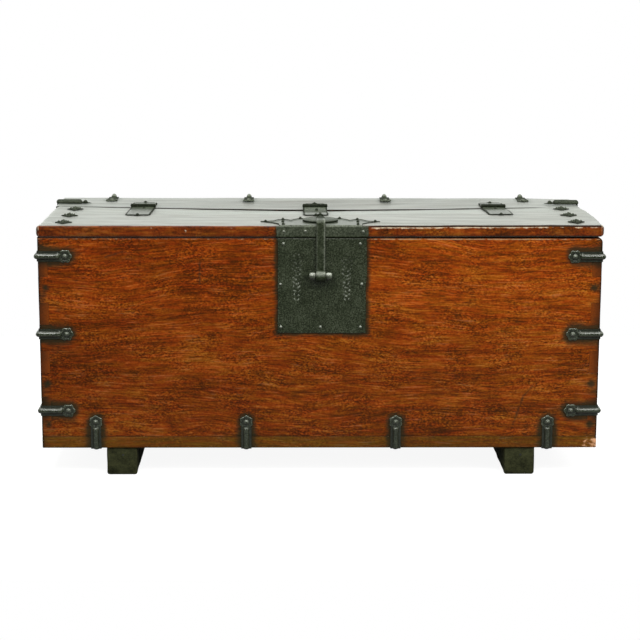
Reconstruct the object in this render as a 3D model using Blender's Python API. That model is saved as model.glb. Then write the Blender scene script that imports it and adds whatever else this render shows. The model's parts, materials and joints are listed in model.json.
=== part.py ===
"""Iron-bound money chest with a half lid, standing on two runner feet.

Metres, +Z up, the front faces -Y. The origin is on the floor, under the middle of the
object's bounding box. Finger-jointed boards make the case. The rear part of the top is a
fixed board, and the front part is a lid that swings up and back on three knuckle hinges.
A hasp on the lid hangs between two staples, where the bar of a padlock goes through.
"""

import math

import bmesh
import bpy
from mathutils import Matrix, Vector

# Fits
SEAT_GAP = 0.0003
RUNNING_GAP = 0.0004

# Case boards
CASE_WIDTH = 1.000
CASE_DEPTH = 0.395
WALL_HEIGHT = 0.3618
WALL_THICK = 0.017
BOTTOM_THICK = 0.0212
SIDE_FINGERS = 4
SIDE_FINGER_HEIGHT = 0.040
END_FINGER_HEIGHT = 0.030

# Top boards
TOP_THICK = 0.021
REAR_BOARD_DEPTH = 0.131
SEAM_GAP = 0.0020
LID_OVERHANG = 0.0020
LID_ROUND = 0.0030
BATTEN_WIDTH = 0.040
BATTEN_HEIGHT = 0.025
BATTEN_SIDE_GAP = 0.006
BATTEN_FRONT_GAP = 0.014
BATTEN_REAR_GAP = 0.010

# Feet
FOOT_WIDTH = 0.0555
FOOT_HEIGHT = 0.0505
FOOT_END_MARGIN = 0.1105
LEFT_FOOT_INSET = 0.0039
FOOT_SETBACK = 0.004
FOOT_ROUND = 0.004

# Iron straps that wrap the edges of the case
STRAP_LEG = 0.061
STRAP_RIB_WIDTH = 0.0156
STRAP_RISE = 0.0065
STRAP_UNDER_RISE = 0.0030
STRAP_EDGE = 0.0018
STRAP_HEAD_RADIUS = 0.0125
STRAP_NAIL_RISE = 0.0050
CORNER_STRAP_TOP_MARGIN = 0.0335
CORNER_STRAP_BOTTOM_MARGIN = 0.0695
CORNER_STRAP_ROWS = ("upper", "middle", "lower")
EDGE_STRAP_END_MARGIN = 0.0915
EDGE_STRAPS = 4
BOTTOM_STRAP_SHIFTS = (0.0052, 0.0032, 0.0003, 0.0020)
REAR_TOP_STRAP_SHIFTS = (0.0070, 0.0012, -0.0040, -0.0070)
SPEAR_LENGTH = 0.066
SPEAR_BODY_LENGTH = 0.046
SPEAR_BULB_RADIUS = 0.0042
SPEAR_NECK_RADIUS = 0.0020
SPEAR_STRAP_MARGIN = 0.042

# Hinges
HINGE_END_MARGIN = 0.1662
MIDDLE_HINGE_X = -0.0066
HINGE_WIDTH = 0.046
HINGE_FRONT_LEAF = 0.139
HINGE_REAR_LEAF = 0.064
HINGE_MIDDLE_KNUCKLE = 0.022
LEAF_THICK = 0.0016
LEAF_CORNER = 0.005
LEAF_TAB_RADIUS = 0.006
KNUCKLE_RADIUS = 0.0036
HINGE_AXIS_LIFT = 0.0015
HINGE_PIN_RADIUS = 0.0019
HINGE_PIN_OVERRUN = 0.0010

# Lock plates, boss and staples
PLATE_THICK = 0.0018
LOCK_PLATE_WIDTH = 0.162
LOCK_PLATE_HEIGHT = 0.170
LOCK_PLATE_TOP_MARGIN = 0.001
FLANGE_LOWER_MARGIN = 0.001
WING_SPAN = 0.214
WING_DEPTH = 0.095
BOSS_RADIUS = 0.032
BOSS_HEIGHT = 0.0034
BOSS_SETBACK = 0.054
PIVOT_SETBACK = 0.070
PIVOT_BAR_RADIUS = 0.0018
PIVOT_LEG_BITE = 0.012
STAPLE_WIDTH = 0.011
STAPLE_RADIUS = 0.0075
STAPLE_SHANK_RADIUS = 0.0038
STAPLE_SHANK_BITE = 0.014

# Hasp
HASP_WIDTH = 0.0154
HASP_THICK = 0.0042
HASP_BEND = 0.006
HASP_DROP = 0.088
HASP_NECK_WIDTH = 0.0045
HASP_TOP_EYE_WALL = 0.0021
HASP_EYE_WIDTH = 0.017
HASP_EYE_RADIUS = 0.0100
LOCK_BAR_HOLE = 0.0042

# Decorative nails that hold the lid to its battens
LID_NAIL_WIDTH = 0.029
LID_NAIL_LENGTH = 0.038
LID_NAIL_PLATE = 0.0016
LID_NAIL_DOME_RADIUS = 0.0055
LID_NAIL_DOME_RISE = 0.0044
LID_NAIL_SHANK_RADIUS = 0.0020
LID_NAIL_BITE = 0.014
LID_NAIL_FRONT_MARGIN = 0.037
LID_NAIL_REAR_MARGIN = 0.046
LID_NAIL_ROWS = ("front", "middle", "rear")

# Facets
ROUND_SIDES = 16
SMALL_SIDES = 10
BOSS_SIDES = 24
CURVE_STEPS = 4
SMOOTH_ANGLE = math.radians(35)

# Heights, floor upwards
CASE_BOTTOM_Z = FOOT_HEIGHT + SEAT_GAP
WALL_BOTTOM_Z = CASE_BOTTOM_Z + BOTTOM_THICK + SEAT_GAP
WALL_TOP_Z = WALL_BOTTOM_Z + WALL_HEIGHT
TOP_UNDER_Z = WALL_TOP_Z + SEAT_GAP
TOP_Z = TOP_UNDER_Z + TOP_THICK
HINGE_Z = TOP_Z + HINGE_AXIS_LIFT
BOSS_Z = TOP_Z + 2 * SEAT_GAP + PLATE_THICK
BOSS_TOP_Z = BOSS_Z + BOSS_HEIGHT
HASP_TOP_EYE_BORE = PIVOT_BAR_RADIUS + RUNNING_GAP
HASP_TOP_EYE_RADIUS = HASP_TOP_EYE_BORE + HASP_TOP_EYE_WALL
PIVOT_Z = BOSS_TOP_Z + RUNNING_GAP + HASP_TOP_EYE_RADIUS
LOCK_EYE_Z = TOP_Z - HASP_DROP

# How far the hasp stands out in front and the straps behind, which centres the box on the origin
LOCK_EYE_OUT = SEAT_GAP + PLATE_THICK + RUNNING_GAP + HASP_EYE_RADIUS
FRONT_REACH = LOCK_EYE_OUT + HASP_EYE_RADIUS
BACK_REACH = SEAT_GAP + STRAP_RISE
CASE_CENTRE_Y = (FRONT_REACH - BACK_REACH) / 2

# Places, left to right and front to back
HALF_WIDTH = CASE_WIDTH / 2
FRONT_Y = CASE_CENTRE_Y - CASE_DEPTH / 2
BACK_Y = CASE_CENTRE_Y + CASE_DEPTH / 2
REAR_BOARD_Y = BACK_Y - REAR_BOARD_DEPTH
LID_FRONT_Y = FRONT_Y - LID_OVERHANG
LID_REAR_Y = REAR_BOARD_Y - SEAM_GAP
HINGE_Y = REAR_BOARD_Y - SEAM_GAP / 2
BOSS_Y = LID_FRONT_Y + BOSS_SETBACK
PIVOT_Y = LID_FRONT_Y + PIVOT_SETBACK
LOCK_EYE_Y = FRONT_Y - LOCK_EYE_OUT
STAPLE_X = HASP_EYE_WIDTH / 2 + RUNNING_GAP + STAPLE_WIDTH / 2
PIVOT_LEG_X = HASP_NECK_WIDTH / 2 + RUNNING_GAP + PIVOT_BAR_RADIUS
BATTEN_X = HALF_WIDTH - WALL_THICK - BATTEN_SIDE_GAP - BATTEN_WIDTH / 2
FOOT_X = HALF_WIDTH - FOOT_END_MARGIN - FOOT_WIDTH / 2
FOOT_PLACES = {-1: LEFT_FOOT_INSET - FOOT_X, 1: FOOT_X}

SIDES = (("left", -1), ("right", 1))
HINGE_X = HALF_WIDTH - HINGE_END_MARGIN
HINGES = (("left", -HINGE_X), ("middle", MIDDLE_HINGE_X), ("right", HINGE_X))
CASE_AXIS = Vector((0, 0, 0))
LID_AXIS = Vector((0, HINGE_Y, HINGE_Z))
HASP_AXIS = Vector((0, PIVOT_Y, PIVOT_Z))


def clear_scene():
    for obj in list(bpy.data.objects):
        bpy.data.objects.remove(obj)


def finish(name, colour, roughness, metallic):
    """A plain material with one Principled BSDF."""
    made = bpy.data.materials.new(name)
    made.use_nodes = True
    shader = made.node_tree.nodes["Principled BSDF"]
    shader.inputs["Base Color"].default_value = (*colour, 1.0)
    shader.inputs["Roughness"].default_value = roughness
    shader.inputs["Metallic"].default_value = metallic
    return made


def axis_empty(name, place, parent=None):
    """An empty on a joint's axis, which carries the pieces that turn about it."""
    empty = bpy.data.objects.new(name, None)
    bpy.context.scene.collection.objects.link(empty)
    empty.parent = parent
    empty.location = place
    if parent is not None:
        empty.location -= parent.location
    return empty


def piece(name, mesh, material, carrier, origin, turn=None):
    """A named object of the chest: the mesh is moved so that its origin is on its carrier's axis."""
    world = Matrix.Identity(4) if turn is None else turn
    made = mesh.copy()
    made.name = name
    made.transform(Matrix.Translation(-origin) @ world)
    made.materials.clear()
    made.materials.append(material)
    made.shade_smooth()
    made.set_sharp_from_angle(angle=SMOOTH_ANGLE)
    obj = bpy.data.objects.new(name, made)
    bpy.context.scene.collection.objects.link(obj)
    obj.parent = carrier
    return obj


def mesh_of(shape):
    """A bmesh as a mesh with its faces pointing out."""
    bmesh.ops.recalc_face_normals(shape, faces=shape.faces)
    made = bpy.data.meshes.new("shape")
    shape.to_mesh(made)
    shape.free()
    return made


def block(low, high, rounding=0.0, steps=2):
    """A box between two corners, with its edges rounded."""
    low, high = Vector(low), Vector(high)
    shape = bmesh.new()
    bmesh.ops.create_cube(shape, size=1.0)
    for vertex in shape.verts:
        vertex.co = Vector(low[i] + (high[i] - low[i]) * (vertex.co[i] + 0.5) for i in range(3))
    if rounding:
        bmesh.ops.bevel(shape, geom=shape.edges, offset=rounding, segments=steps, profile=0.5, affect="EDGES")
    return mesh_of(shape)


def prism(outline, thick, turn=None):
    """A flat outline in X and Y, given a thickness upwards, then turned into place."""
    shape = bmesh.new()
    face = shape.faces.new([shape.verts.new((x, y, 0)) for x, y in outline])
    grown = bmesh.ops.extrude_face_region(shape, geom=[face])["geom"]
    moved = [v for v in grown if isinstance(v, bmesh.types.BMVert)]
    bmesh.ops.translate(shape, verts=moved, vec=(0, 0, thick))
    made = mesh_of(shape)
    if turn is not None:
        made.transform(turn)
    return made


def rod(radius, start, end, sides=SMALL_SIDES):
    """A round bar between two points."""
    start, end = Vector(start), Vector(end)
    along = end - start
    shape = bmesh.new()
    bmesh.ops.create_cone(
        shape, cap_ends=True, segments=sides, radius1=radius, radius2=radius, depth=along.length
    )
    turn = along.to_track_quat("Z", "Y").to_matrix().to_4x4()
    bmesh.ops.transform(shape, verts=shape.verts, matrix=Matrix.Translation((start + end) / 2) @ turn)
    return mesh_of(shape)


def turned(profile, sides):
    """A profile of (radius, height) points turned about Z. It starts and ends on the axis."""
    shape = bmesh.new()
    points = [shape.verts.new((radius, 0, height)) for radius, height in profile]
    edges = [shape.edges.new(pair) for pair in zip(points, points[1:])]
    bmesh.ops.spin(
        shape, geom=points + edges, cent=(0, 0, 0), axis=(0, 0, 1), angle=2 * math.pi, steps=sides
    )
    bmesh.ops.remove_doubles(shape, verts=shape.verts, dist=1e-6)
    return mesh_of(shape)


def moved(mesh, place):
    """A mesh shifted to a place."""
    mesh.transform(Matrix.Translation(place))
    return mesh


def worked(mesh, joined=(), cut=()):
    """The mesh with some solids joined to it and others cut out of it."""
    base = bpy.data.objects.new("base", mesh)
    helpers = [base]
    bpy.context.scene.collection.objects.link(base)
    for operation, tools in (("UNION", joined), ("DIFFERENCE", cut)):
        for tool in tools:
            helper = bpy.data.objects.new("tool", tool)
            bpy.context.scene.collection.objects.link(helper)
            helpers.append(helper)
            modifier = base.modifiers.new(operation, "BOOLEAN")
            modifier.operation = operation
            modifier.solver = "EXACT"
            modifier.object = helper
    graph = bpy.context.evaluated_depsgraph_get()
    made = bpy.data.meshes.new_from_object(base.evaluated_get(graph))
    for helper in helpers:
        bpy.data.objects.remove(helper)
    return made


def bend(start, pull, end, steps=CURVE_STEPS):
    """Points of a curve that leaves start towards pull and arrives at end, without its start."""
    points = []
    for i in range(1, steps + 1):
        t = i / steps
        points.append(
            tuple((1 - t) ** 2 * a + 2 * t * (1 - t) * b + t**2 * c for a, b, c in zip(start, pull, end))
        )
    return points


def mirrored(half):
    """A whole outline from its half at X above zero, whose ends are on X = 0."""
    return half + [(-x, y) for x, y in reversed(half) if x > 0]


def side_finger_spans():
    """Lowest and highest point of each finger of a side board, above the walls' foot."""
    spare = WALL_HEIGHT - SIDE_FINGERS * SIDE_FINGER_HEIGHT - 2 * END_FINGER_HEIGHT
    pitch = SIDE_FINGER_HEIGHT + spare / (SIDE_FINGERS - 1)
    starts = [END_FINGER_HEIGHT + i * pitch for i in range(SIDE_FINGERS)]
    return [(low, low + SIDE_FINGER_HEIGHT) for low in starts]


def comb_edge(inner, outer, grow):
    """Up one end of a board: it steps from outer to inner past each side finger, or back where grow is set."""
    points = []
    for low, high in side_finger_spans():
        if grow:
            points += [(inner, low), (outer, low), (outer, high), (inner, high)]
        else:
            points += [(outer, low - SEAT_GAP), (inner, low - SEAT_GAP)]
            points += [(inner, high + SEAT_GAP), (outer, high + SEAT_GAP)]
    return points


def fingered_outline(half, finger, grow):
    """Outline of a board with its ends fingered: half its length, the length of a finger, and which way they go."""
    inner = half - finger
    body = inner if grow else half
    right = [(body, 0.0), *comb_edge(inner, half, grow), (body, WALL_HEIGHT)]
    return right + [(-x, y) for x, y in reversed(right)]


def standing(x_axis, y_axis, place):
    """A turn that lays an outline's X and Y along two directions, at a place."""
    x_axis, y_axis = Vector(x_axis), Vector(y_axis)
    turn = Matrix((x_axis, y_axis, x_axis.cross(y_axis))).transposed().to_4x4()
    return Matrix.Translation(place) @ turn


def front_board():
    outline = fingered_outline(HALF_WIDTH, WALL_THICK + SEAT_GAP, grow=False)
    place = Vector((0, FRONT_Y + WALL_THICK, WALL_BOTTOM_Z))
    board = prism(outline, WALL_THICK, standing((1, 0, 0), (0, 0, 1), place))
    return worked(board, cut=staple_holes())


def back_board():
    outline = fingered_outline(HALF_WIDTH, WALL_THICK + SEAT_GAP, grow=False)
    place = Vector((0, BACK_Y, WALL_BOTTOM_Z))
    return prism(outline, WALL_THICK, standing((1, 0, 0), (0, 0, 1), place))


def side_board(side):
    outline = fingered_outline(CASE_DEPTH / 2, WALL_THICK + SEAT_GAP, grow=True)
    outer = HALF_WIDTH if side > 0 else -HALF_WIDTH + WALL_THICK
    place = Vector((outer - WALL_THICK, CASE_CENTRE_Y, WALL_BOTTOM_Z))
    return prism(outline, WALL_THICK, standing((0, 1, 0), (0, 0, 1), place))


def bottom_board():
    return block((-HALF_WIDTH, FRONT_Y, CASE_BOTTOM_Z), (HALF_WIDTH, BACK_Y, CASE_BOTTOM_Z + BOTTOM_THICK))


def knuckle_grooves():
    """Shallow grooves in the seam's edges, which make room for the hinges' knuckles and pins."""
    reach = KNUCKLE_RADIUS + RUNNING_GAP
    half = HINGE_WIDTH / 2 + HINGE_PIN_OVERRUN + RUNNING_GAP
    return [
        block((x - half, HINGE_Y - reach, HINGE_Z - reach), (x + half, HINGE_Y + reach, HINGE_Z + reach))
        for _, x in HINGES
    ]


def top_rear_board():
    board = block((-HALF_WIDTH, REAR_BOARD_Y, TOP_UNDER_Z), (HALF_WIDTH, BACK_Y, TOP_Z))
    return worked(board, cut=knuckle_grooves())


def foot(side):
    centre = FOOT_PLACES[side]
    low = (centre - FOOT_WIDTH / 2, FRONT_Y + FOOT_SETBACK, 0)
    high = (centre + FOOT_WIDTH / 2, BACK_Y - FOOT_SETBACK, FOOT_HEIGHT)
    return block(low, high, FOOT_ROUND)


def lid_nail_places(side):
    """Where the three decorative nails of one lid end stand on the lid."""
    first = LID_FRONT_Y + LID_NAIL_FRONT_MARGIN
    step = (LID_REAR_Y - LID_NAIL_REAR_MARGIN - first) / (len(LID_NAIL_ROWS) - 1)
    return [Vector((side * BATTEN_X, first + i * step, TOP_Z)) for i in range(len(LID_NAIL_ROWS))]


def lid_nail_hole(place):
    """The hole of one decorative nail, from above the lid down into its batten."""
    depth = SEAT_GAP + TOP_THICK + LID_NAIL_BITE + RUNNING_GAP
    return rod(
        LID_NAIL_SHANK_RADIUS + SEAT_GAP,
        place + Vector((0, 0, LID_NAIL_PLATE)),
        place - Vector((0, 0, depth)),
    )


def pivot_holes():
    """The two holes of the hasp's pivot staple, through boss and plate into the lid."""
    return [
        rod(
            PIVOT_BAR_RADIUS + SEAT_GAP,
            (side * PIVOT_LEG_X, PIVOT_Y, BOSS_TOP_Z + BOSS_HEIGHT),
            (side * PIVOT_LEG_X, PIVOT_Y, TOP_Z - PIVOT_LEG_BITE - RUNNING_GAP),
        )
        for _, side in SIDES
    ]


def staple_holes():
    """The holes of the two lock staples, through the lock plate into the front board."""
    return [
        rod(
            STAPLE_SHANK_RADIUS + SEAT_GAP,
            (side * STAPLE_X, LOCK_EYE_Y, LOCK_EYE_Z),
            (side * STAPLE_X, FRONT_Y + STAPLE_SHANK_BITE + RUNNING_GAP, LOCK_EYE_Z),
        )
        for _, side in SIDES
    ]


def lid_board():
    over = HALF_WIDTH + LID_OVERHANG
    board = block((-over, LID_FRONT_Y, TOP_UNDER_Z), (over, LID_REAR_Y, TOP_Z), LID_ROUND)
    nails = [lid_nail_hole(place) for _, side in SIDES for place in lid_nail_places(side)]
    return worked(board, cut=nails + pivot_holes() + knuckle_grooves())


def lid_batten(side):
    centre = side * BATTEN_X
    top = TOP_UNDER_Z - SEAT_GAP
    low = (centre - BATTEN_WIDTH / 2, FRONT_Y + WALL_THICK + BATTEN_FRONT_GAP, top - BATTEN_HEIGHT)
    high = (centre + BATTEN_WIDTH / 2, LID_REAR_Y - BATTEN_REAR_GAP, top)
    return worked(block(low, high), cut=[lid_nail_hole(place) for place in lid_nail_places(side)])


def rib_section(half_width, rise):
    """Half-round section of a strap as (sideways, height) points, flat side first."""
    return [
        (-half_width, 0.0),
        (-half_width, STRAP_EDGE),
        (-0.55 * half_width, STRAP_EDGE + 0.72 * (rise - STRAP_EDGE)),
        (0.0, rise),
        (0.55 * half_width, STRAP_EDGE + 0.72 * (rise - STRAP_EDGE)),
        (half_width, STRAP_EDGE),
        (half_width, 0.0),
    ]


def rosette_stations():
    """A strap's leg with a round head: (distance from the edge, half width, rise), tip first."""
    centre = STRAP_LEG - STRAP_HEAD_RADIUS
    neck = math.pi - math.asin(STRAP_RIB_WIDTH / 2 / STRAP_HEAD_RADIUS)
    angles = (math.radians(25), math.radians(60), math.radians(90), math.radians(118), neck)
    flat = STRAP_EDGE + 0.15 * (STRAP_RISE - STRAP_EDGE)
    rises = (flat, flat, STRAP_NAIL_RISE, flat, STRAP_RISE)
    head = [
        (centre + STRAP_HEAD_RADIUS * math.cos(angle), STRAP_HEAD_RADIUS * math.sin(angle), rise)
        for angle, rise in zip(angles, rises)
    ]
    return head + [(0.0, STRAP_RIB_WIDTH / 2, STRAP_RISE)]


def spear_stations():
    """A strap's leg with a broad body that ends in a neck, a bulb and a point."""
    half = STRAP_RIB_WIDTH / 2
    point = SPEAR_LENGTH - SPEAR_BODY_LENGTH
    neck_rise = STRAP_EDGE + 0.3 * (STRAP_RISE - STRAP_EDGE)
    return [
        (SPEAR_LENGTH, 0.4 * SPEAR_NECK_RADIUS, neck_rise),
        (SPEAR_BODY_LENGTH + 0.72 * point, 0.9 * SPEAR_NECK_RADIUS, neck_rise),
        (SPEAR_BODY_LENGTH + 0.50 * point, SPEAR_BULB_RADIUS, STRAP_RISE),
        (SPEAR_BODY_LENGTH + 0.28 * point, SPEAR_NECK_RADIUS, neck_rise),
        (SPEAR_BODY_LENGTH + 0.05 * point, SPEAR_NECK_RADIUS, neck_rise),
        (SPEAR_BODY_LENGTH - 0.05 * point, 0.75 * half, STRAP_RISE),
        (SPEAR_BODY_LENGTH - 0.20 * point, half, STRAP_RISE),
        (0.0, half, STRAP_RISE),
    ]


def strap(stations, second_rise=STRAP_RISE):
    """A strap bent round an edge. The wood is at X and Y below zero, and the edge runs along Z.

    Both legs have the same stations: one runs along -X on the face Y = 0, the other along -Y on X = 0.
    The second leg rises no higher than second_rise.
    """
    rings = []
    for distance, half, rise in stations:
        rings.append([Vector((-distance, SEAT_GAP + up, across)) for across, up in rib_section(half, rise)])
    edge_half, edge_rise = stations[-1][1:]
    for degrees in (30, 60):
        out = Vector((math.sin(math.radians(degrees)), math.cos(math.radians(degrees)), 0))
        section = rib_section(edge_half, edge_rise + (min(edge_rise, second_rise) - edge_rise) * degrees / 90)
        rings.append([out * (SEAT_GAP + up) + Vector((0, 0, across)) for across, up in section])
    for distance, half, rise in reversed(stations):
        section = rib_section(half, min(rise, second_rise))
        rings.append([Vector((SEAT_GAP + up, -distance, across)) for across, up in section])
    shape = bmesh.new()
    loops = [[shape.verts.new(point) for point in ring] for ring in rings]
    for ring, after in zip(loops, loops[1:]):
        for i, start in enumerate(ring):
            j = (i + 1) % len(ring)
            shape.faces.new((start, ring[j], after[j], after[i]))
    shape.faces.new(loops[0])
    shape.faces.new(reversed(loops[-1]))
    return mesh_of(shape)


def wrapped(corner, first_face, second_face):
    """The turn that puts a strap on an edge, from the outward directions of the two faces that meet there."""
    first_face, second_face = Vector(first_face), Vector(second_face)
    turn = Matrix((second_face, first_face, second_face.cross(first_face))).transposed().to_4x4()
    return Matrix.Translation(corner) @ turn


def corner_strap_heights():
    """Heights of the straps on an upright edge, top first."""
    highest = WALL_TOP_Z - CORNER_STRAP_TOP_MARGIN
    lowest = CASE_BOTTOM_Z + CORNER_STRAP_BOTTOM_MARGIN
    step = (highest - lowest) / (len(CORNER_STRAP_ROWS) - 1)
    return [highest - i * step for i in range(len(CORNER_STRAP_ROWS))]


def edge_strap_places(shifts=(0.0,) * EDGE_STRAPS):
    """X of the straps along a long edge, left first: evenly spaced, each shifted as it was set by hand."""
    first = -HALF_WIDTH + EDGE_STRAP_END_MARGIN
    return [first - 2 * first * i / (EDGE_STRAPS - 1) + shift for i, shift in enumerate(shifts)]


def add_straps(case, iron):
    rosette = strap(rosette_stations())
    under = strap(rosette_stations(), STRAP_UNDER_RISE)
    spear = strap(spear_stations())
    left, right, front, back = (-1, 0, 0), (1, 0, 0), (0, -1, 0), (0, 1, 0)
    up, down = (0, 0, 1), (0, 0, -1)
    for end, face, y in (("front", front, FRONT_Y), ("rear", back, BACK_Y)):
        for side, sideways, x in (("left", left, -HALF_WIDTH), ("right", right, HALF_WIDTH)):
            for row, z in zip(CORNER_STRAP_ROWS, corner_strap_heights()):
                turn = wrapped((x, y, z), face, sideways)
                piece(f"{end}_{side}_strap_{row}", rosette, iron, case, CASE_AXIS, turn)
        places = edge_strap_places(BOTTOM_STRAP_SHIFTS) if end == "front" else edge_strap_places()
        for number, x in enumerate(places, 1):
            turn = wrapped((x, y, CASE_BOTTOM_Z), face, down)
            piece(f"{end}_bottom_strap_{number}", under, iron, case, CASE_AXIS, turn)
    for number, x in enumerate(edge_strap_places(REAR_TOP_STRAP_SHIFTS), 1):
        turn = wrapped((x, BACK_Y, TOP_Z), up, back)
        piece(f"rear_top_strap_{number}", rosette, iron, case, CASE_AXIS, turn)
    spear_y = REAR_BOARD_Y + SPEAR_STRAP_MARGIN
    for side, sideways, x in (("left", left, -HALF_WIDTH), ("right", right, HALF_WIDTH)):
        turn = wrapped((x, spear_y, TOP_Z), up, sideways)
        piece(f"top_{side}_corner_strap", spear, iron, case, CASE_AXIS, turn)


def knuckle_spans(middle):
    """Where one leaf's knuckles lie across the hinge: the middle one, or the two outer ones."""
    inner = HINGE_MIDDLE_KNUCKLE / 2
    if middle:
        return [(-inner, inner)]
    return [(-HINGE_WIDTH / 2, -inner - RUNNING_GAP), (inner + RUNNING_GAP, HINGE_WIDTH / 2)]


def leaf_outline(length, middle):
    """A hinge leaf seen from above: tabs under its own knuckles, cut corners and a round tab at its end."""
    half = HINGE_WIDTH / 2
    start = KNUCKLE_RADIUS + 2 * RUNNING_GAP
    shoulder = length - LEAF_TAB_RADIUS
    inner = HINGE_MIDDLE_KNUCKLE / 2
    if middle:
        root = [(0.0, 0.0), (inner, 0.0), (inner, start), (half, start)]
    else:
        tab = inner + RUNNING_GAP
        root = [(0.0, start), (tab, start), (tab, 0.0), (half, 0.0)]
    end = [(half, shoulder - LEAF_CORNER), (half - LEAF_CORNER, shoulder)]
    for i in range(CURVE_STEPS + 1):
        angle = math.pi / 2 * i / CURVE_STEPS
        end.append((LEAF_TAB_RADIUS * math.cos(angle), shoulder + LEAF_TAB_RADIUS * math.sin(angle)))
    return mirrored(root + end)


def hinge_leaf(x, length, toward, middle):
    """One leaf: a flat plate on the board with knuckles about the hinge's axis. Toward is -1 for the front leaf."""
    place = Vector((x, HINGE_Y, TOP_Z + SEAT_GAP))
    turn = Matrix.Translation(place) @ Matrix.Rotation(math.pi if toward < 0 else 0.0, 4, "Z")
    plate = prism(leaf_outline(length, middle), LEAF_THICK, turn)
    knuckles = [
        rod(KNUCKLE_RADIUS, (x + low, HINGE_Y, HINGE_Z), (x + high, HINGE_Y, HINGE_Z), ROUND_SIDES)
        for low, high in knuckle_spans(middle)
    ]
    reach = HINGE_WIDTH
    bore = rod(
        HINGE_PIN_RADIUS + SEAT_GAP,
        (x - reach, HINGE_Y, HINGE_Z),
        (x + reach, HINGE_Y, HINGE_Z),
        ROUND_SIDES,
    )
    return worked(plate, joined=knuckles, cut=[bore])


def hinge_pin(x):
    reach = HINGE_WIDTH / 2 + HINGE_PIN_OVERRUN
    return rod(
        HINGE_PIN_RADIUS, (x - reach, HINGE_Y, HINGE_Z), (x + reach, HINGE_Y, HINGE_Z), ROUND_SIDES
    )


def add_hinges(case, lid, iron):
    for name, x in HINGES:
        rear = hinge_leaf(x, HINGE_REAR_LEAF, 1, middle=False)
        front = hinge_leaf(x, HINGE_FRONT_LEAF, -1, middle=True)
        piece(f"{name}_hinge_rear_leaf", rear, iron, case, CASE_AXIS)
        piece(f"{name}_hinge_pin", hinge_pin(x), iron, case, CASE_AXIS)
        piece(f"{name}_hinge_front_leaf", front, iron, lid, LID_AXIS)


def lock_plate():
    top = WALL_TOP_Z - LOCK_PLATE_TOP_MARGIN
    low = (-LOCK_PLATE_WIDTH / 2, FRONT_Y - SEAT_GAP - PLATE_THICK, top - LOCK_PLATE_HEIGHT)
    high = (LOCK_PLATE_WIDTH / 2, FRONT_Y - SEAT_GAP, top)
    return worked(block(low, high), cut=staple_holes())


def lock_staple(side):
    """An eye that stands out of the lock plate on a shank, with its hole along X."""
    x = side * STAPLE_X
    near, far = x - STAPLE_WIDTH / 2, x + STAPLE_WIDTH / 2
    eye = rod(STAPLE_RADIUS, (near, LOCK_EYE_Y, LOCK_EYE_Z), (far, LOCK_EYE_Y, LOCK_EYE_Z), ROUND_SIDES)
    shank = rod(
        STAPLE_SHANK_RADIUS,
        (x, LOCK_EYE_Y + STAPLE_RADIUS / 2, LOCK_EYE_Z),
        (x, FRONT_Y + STAPLE_SHANK_BITE, LOCK_EYE_Z),
    )
    hole = rod(
        LOCK_BAR_HOLE,
        (near - STAPLE_WIDTH, LOCK_EYE_Y, LOCK_EYE_Z),
        (far + STAPLE_WIDTH, LOCK_EYE_Y, LOCK_EYE_Z),
        ROUND_SIDES,
    )
    return worked(eye, joined=[shank], cut=[hole])


def wing_outline():
    """The lid plate seen from above, with X across and Y back from its front edge: two scalloped wings."""
    half, depth = WING_SPAN / 2, WING_DEPTH
    corner = (LOCK_PLATE_WIDTH / 2, 0.0)
    waist = (0.90 * LOCK_PLATE_WIDTH / 2, 0.19 * depth)
    tip = (half, 0.53 * depth)
    notch = (0.79 * half, 0.63 * depth)
    lobe = (0.64 * half, 0.87 * depth)
    valley = (0.50 * half, 0.70 * depth)
    crest = (0.34 * half, depth)
    back = (0.0, 0.94 * depth)
    outline = [(0.0, 0.0), corner, waist]
    outline += bend(waist, (0.74 * half, 0.46 * depth), tip)
    outline += bend(tip, (0.88 * half, 0.54 * depth), notch, 2)
    outline += bend(notch, (0.76 * half, 0.84 * depth), lobe)
    outline += bend(lobe, (0.53 * half, 0.86 * depth), valley)
    outline += bend(valley, (0.45 * half, 0.96 * depth), crest)
    outline += bend(crest, (0.15 * half, depth), back, 2)
    return mirrored(outline)


def lid_lock_plate():
    """A plate folded over the lid's front edge: wings on top, a flange down the edge."""
    face = LID_FRONT_Y - SEAT_GAP
    outline = [(x, y + face - PLATE_THICK / 2) for x, y in wing_outline()]
    wings = prism(outline, PLATE_THICK, Matrix.Translation((0, 0, TOP_Z + SEAT_GAP)))
    half = LOCK_PLATE_WIDTH / 2
    flange = block(
        (-half, face - PLATE_THICK, TOP_UNDER_Z + FLANGE_LOWER_MARGIN),
        (half, face, TOP_Z + SEAT_GAP + PLATE_THICK / 2),
    )
    return worked(wings, joined=[flange], cut=pivot_holes())


def hasp_boss():
    """A low round boss under the hasp's pivot, with a softened rim."""
    profile = [
        (0.0, BOSS_HEIGHT),
        (0.80 * BOSS_RADIUS, 0.92 * BOSS_HEIGHT),
        (0.95 * BOSS_RADIUS, 0.76 * BOSS_HEIGHT),
        (BOSS_RADIUS, 0.45 * BOSS_HEIGHT),
        (BOSS_RADIUS, 0.0),
        (0.0, 0.0),
    ]
    return worked(moved(turned(profile, BOSS_SIDES), (0, BOSS_Y, BOSS_Z)), cut=pivot_holes())


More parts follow.
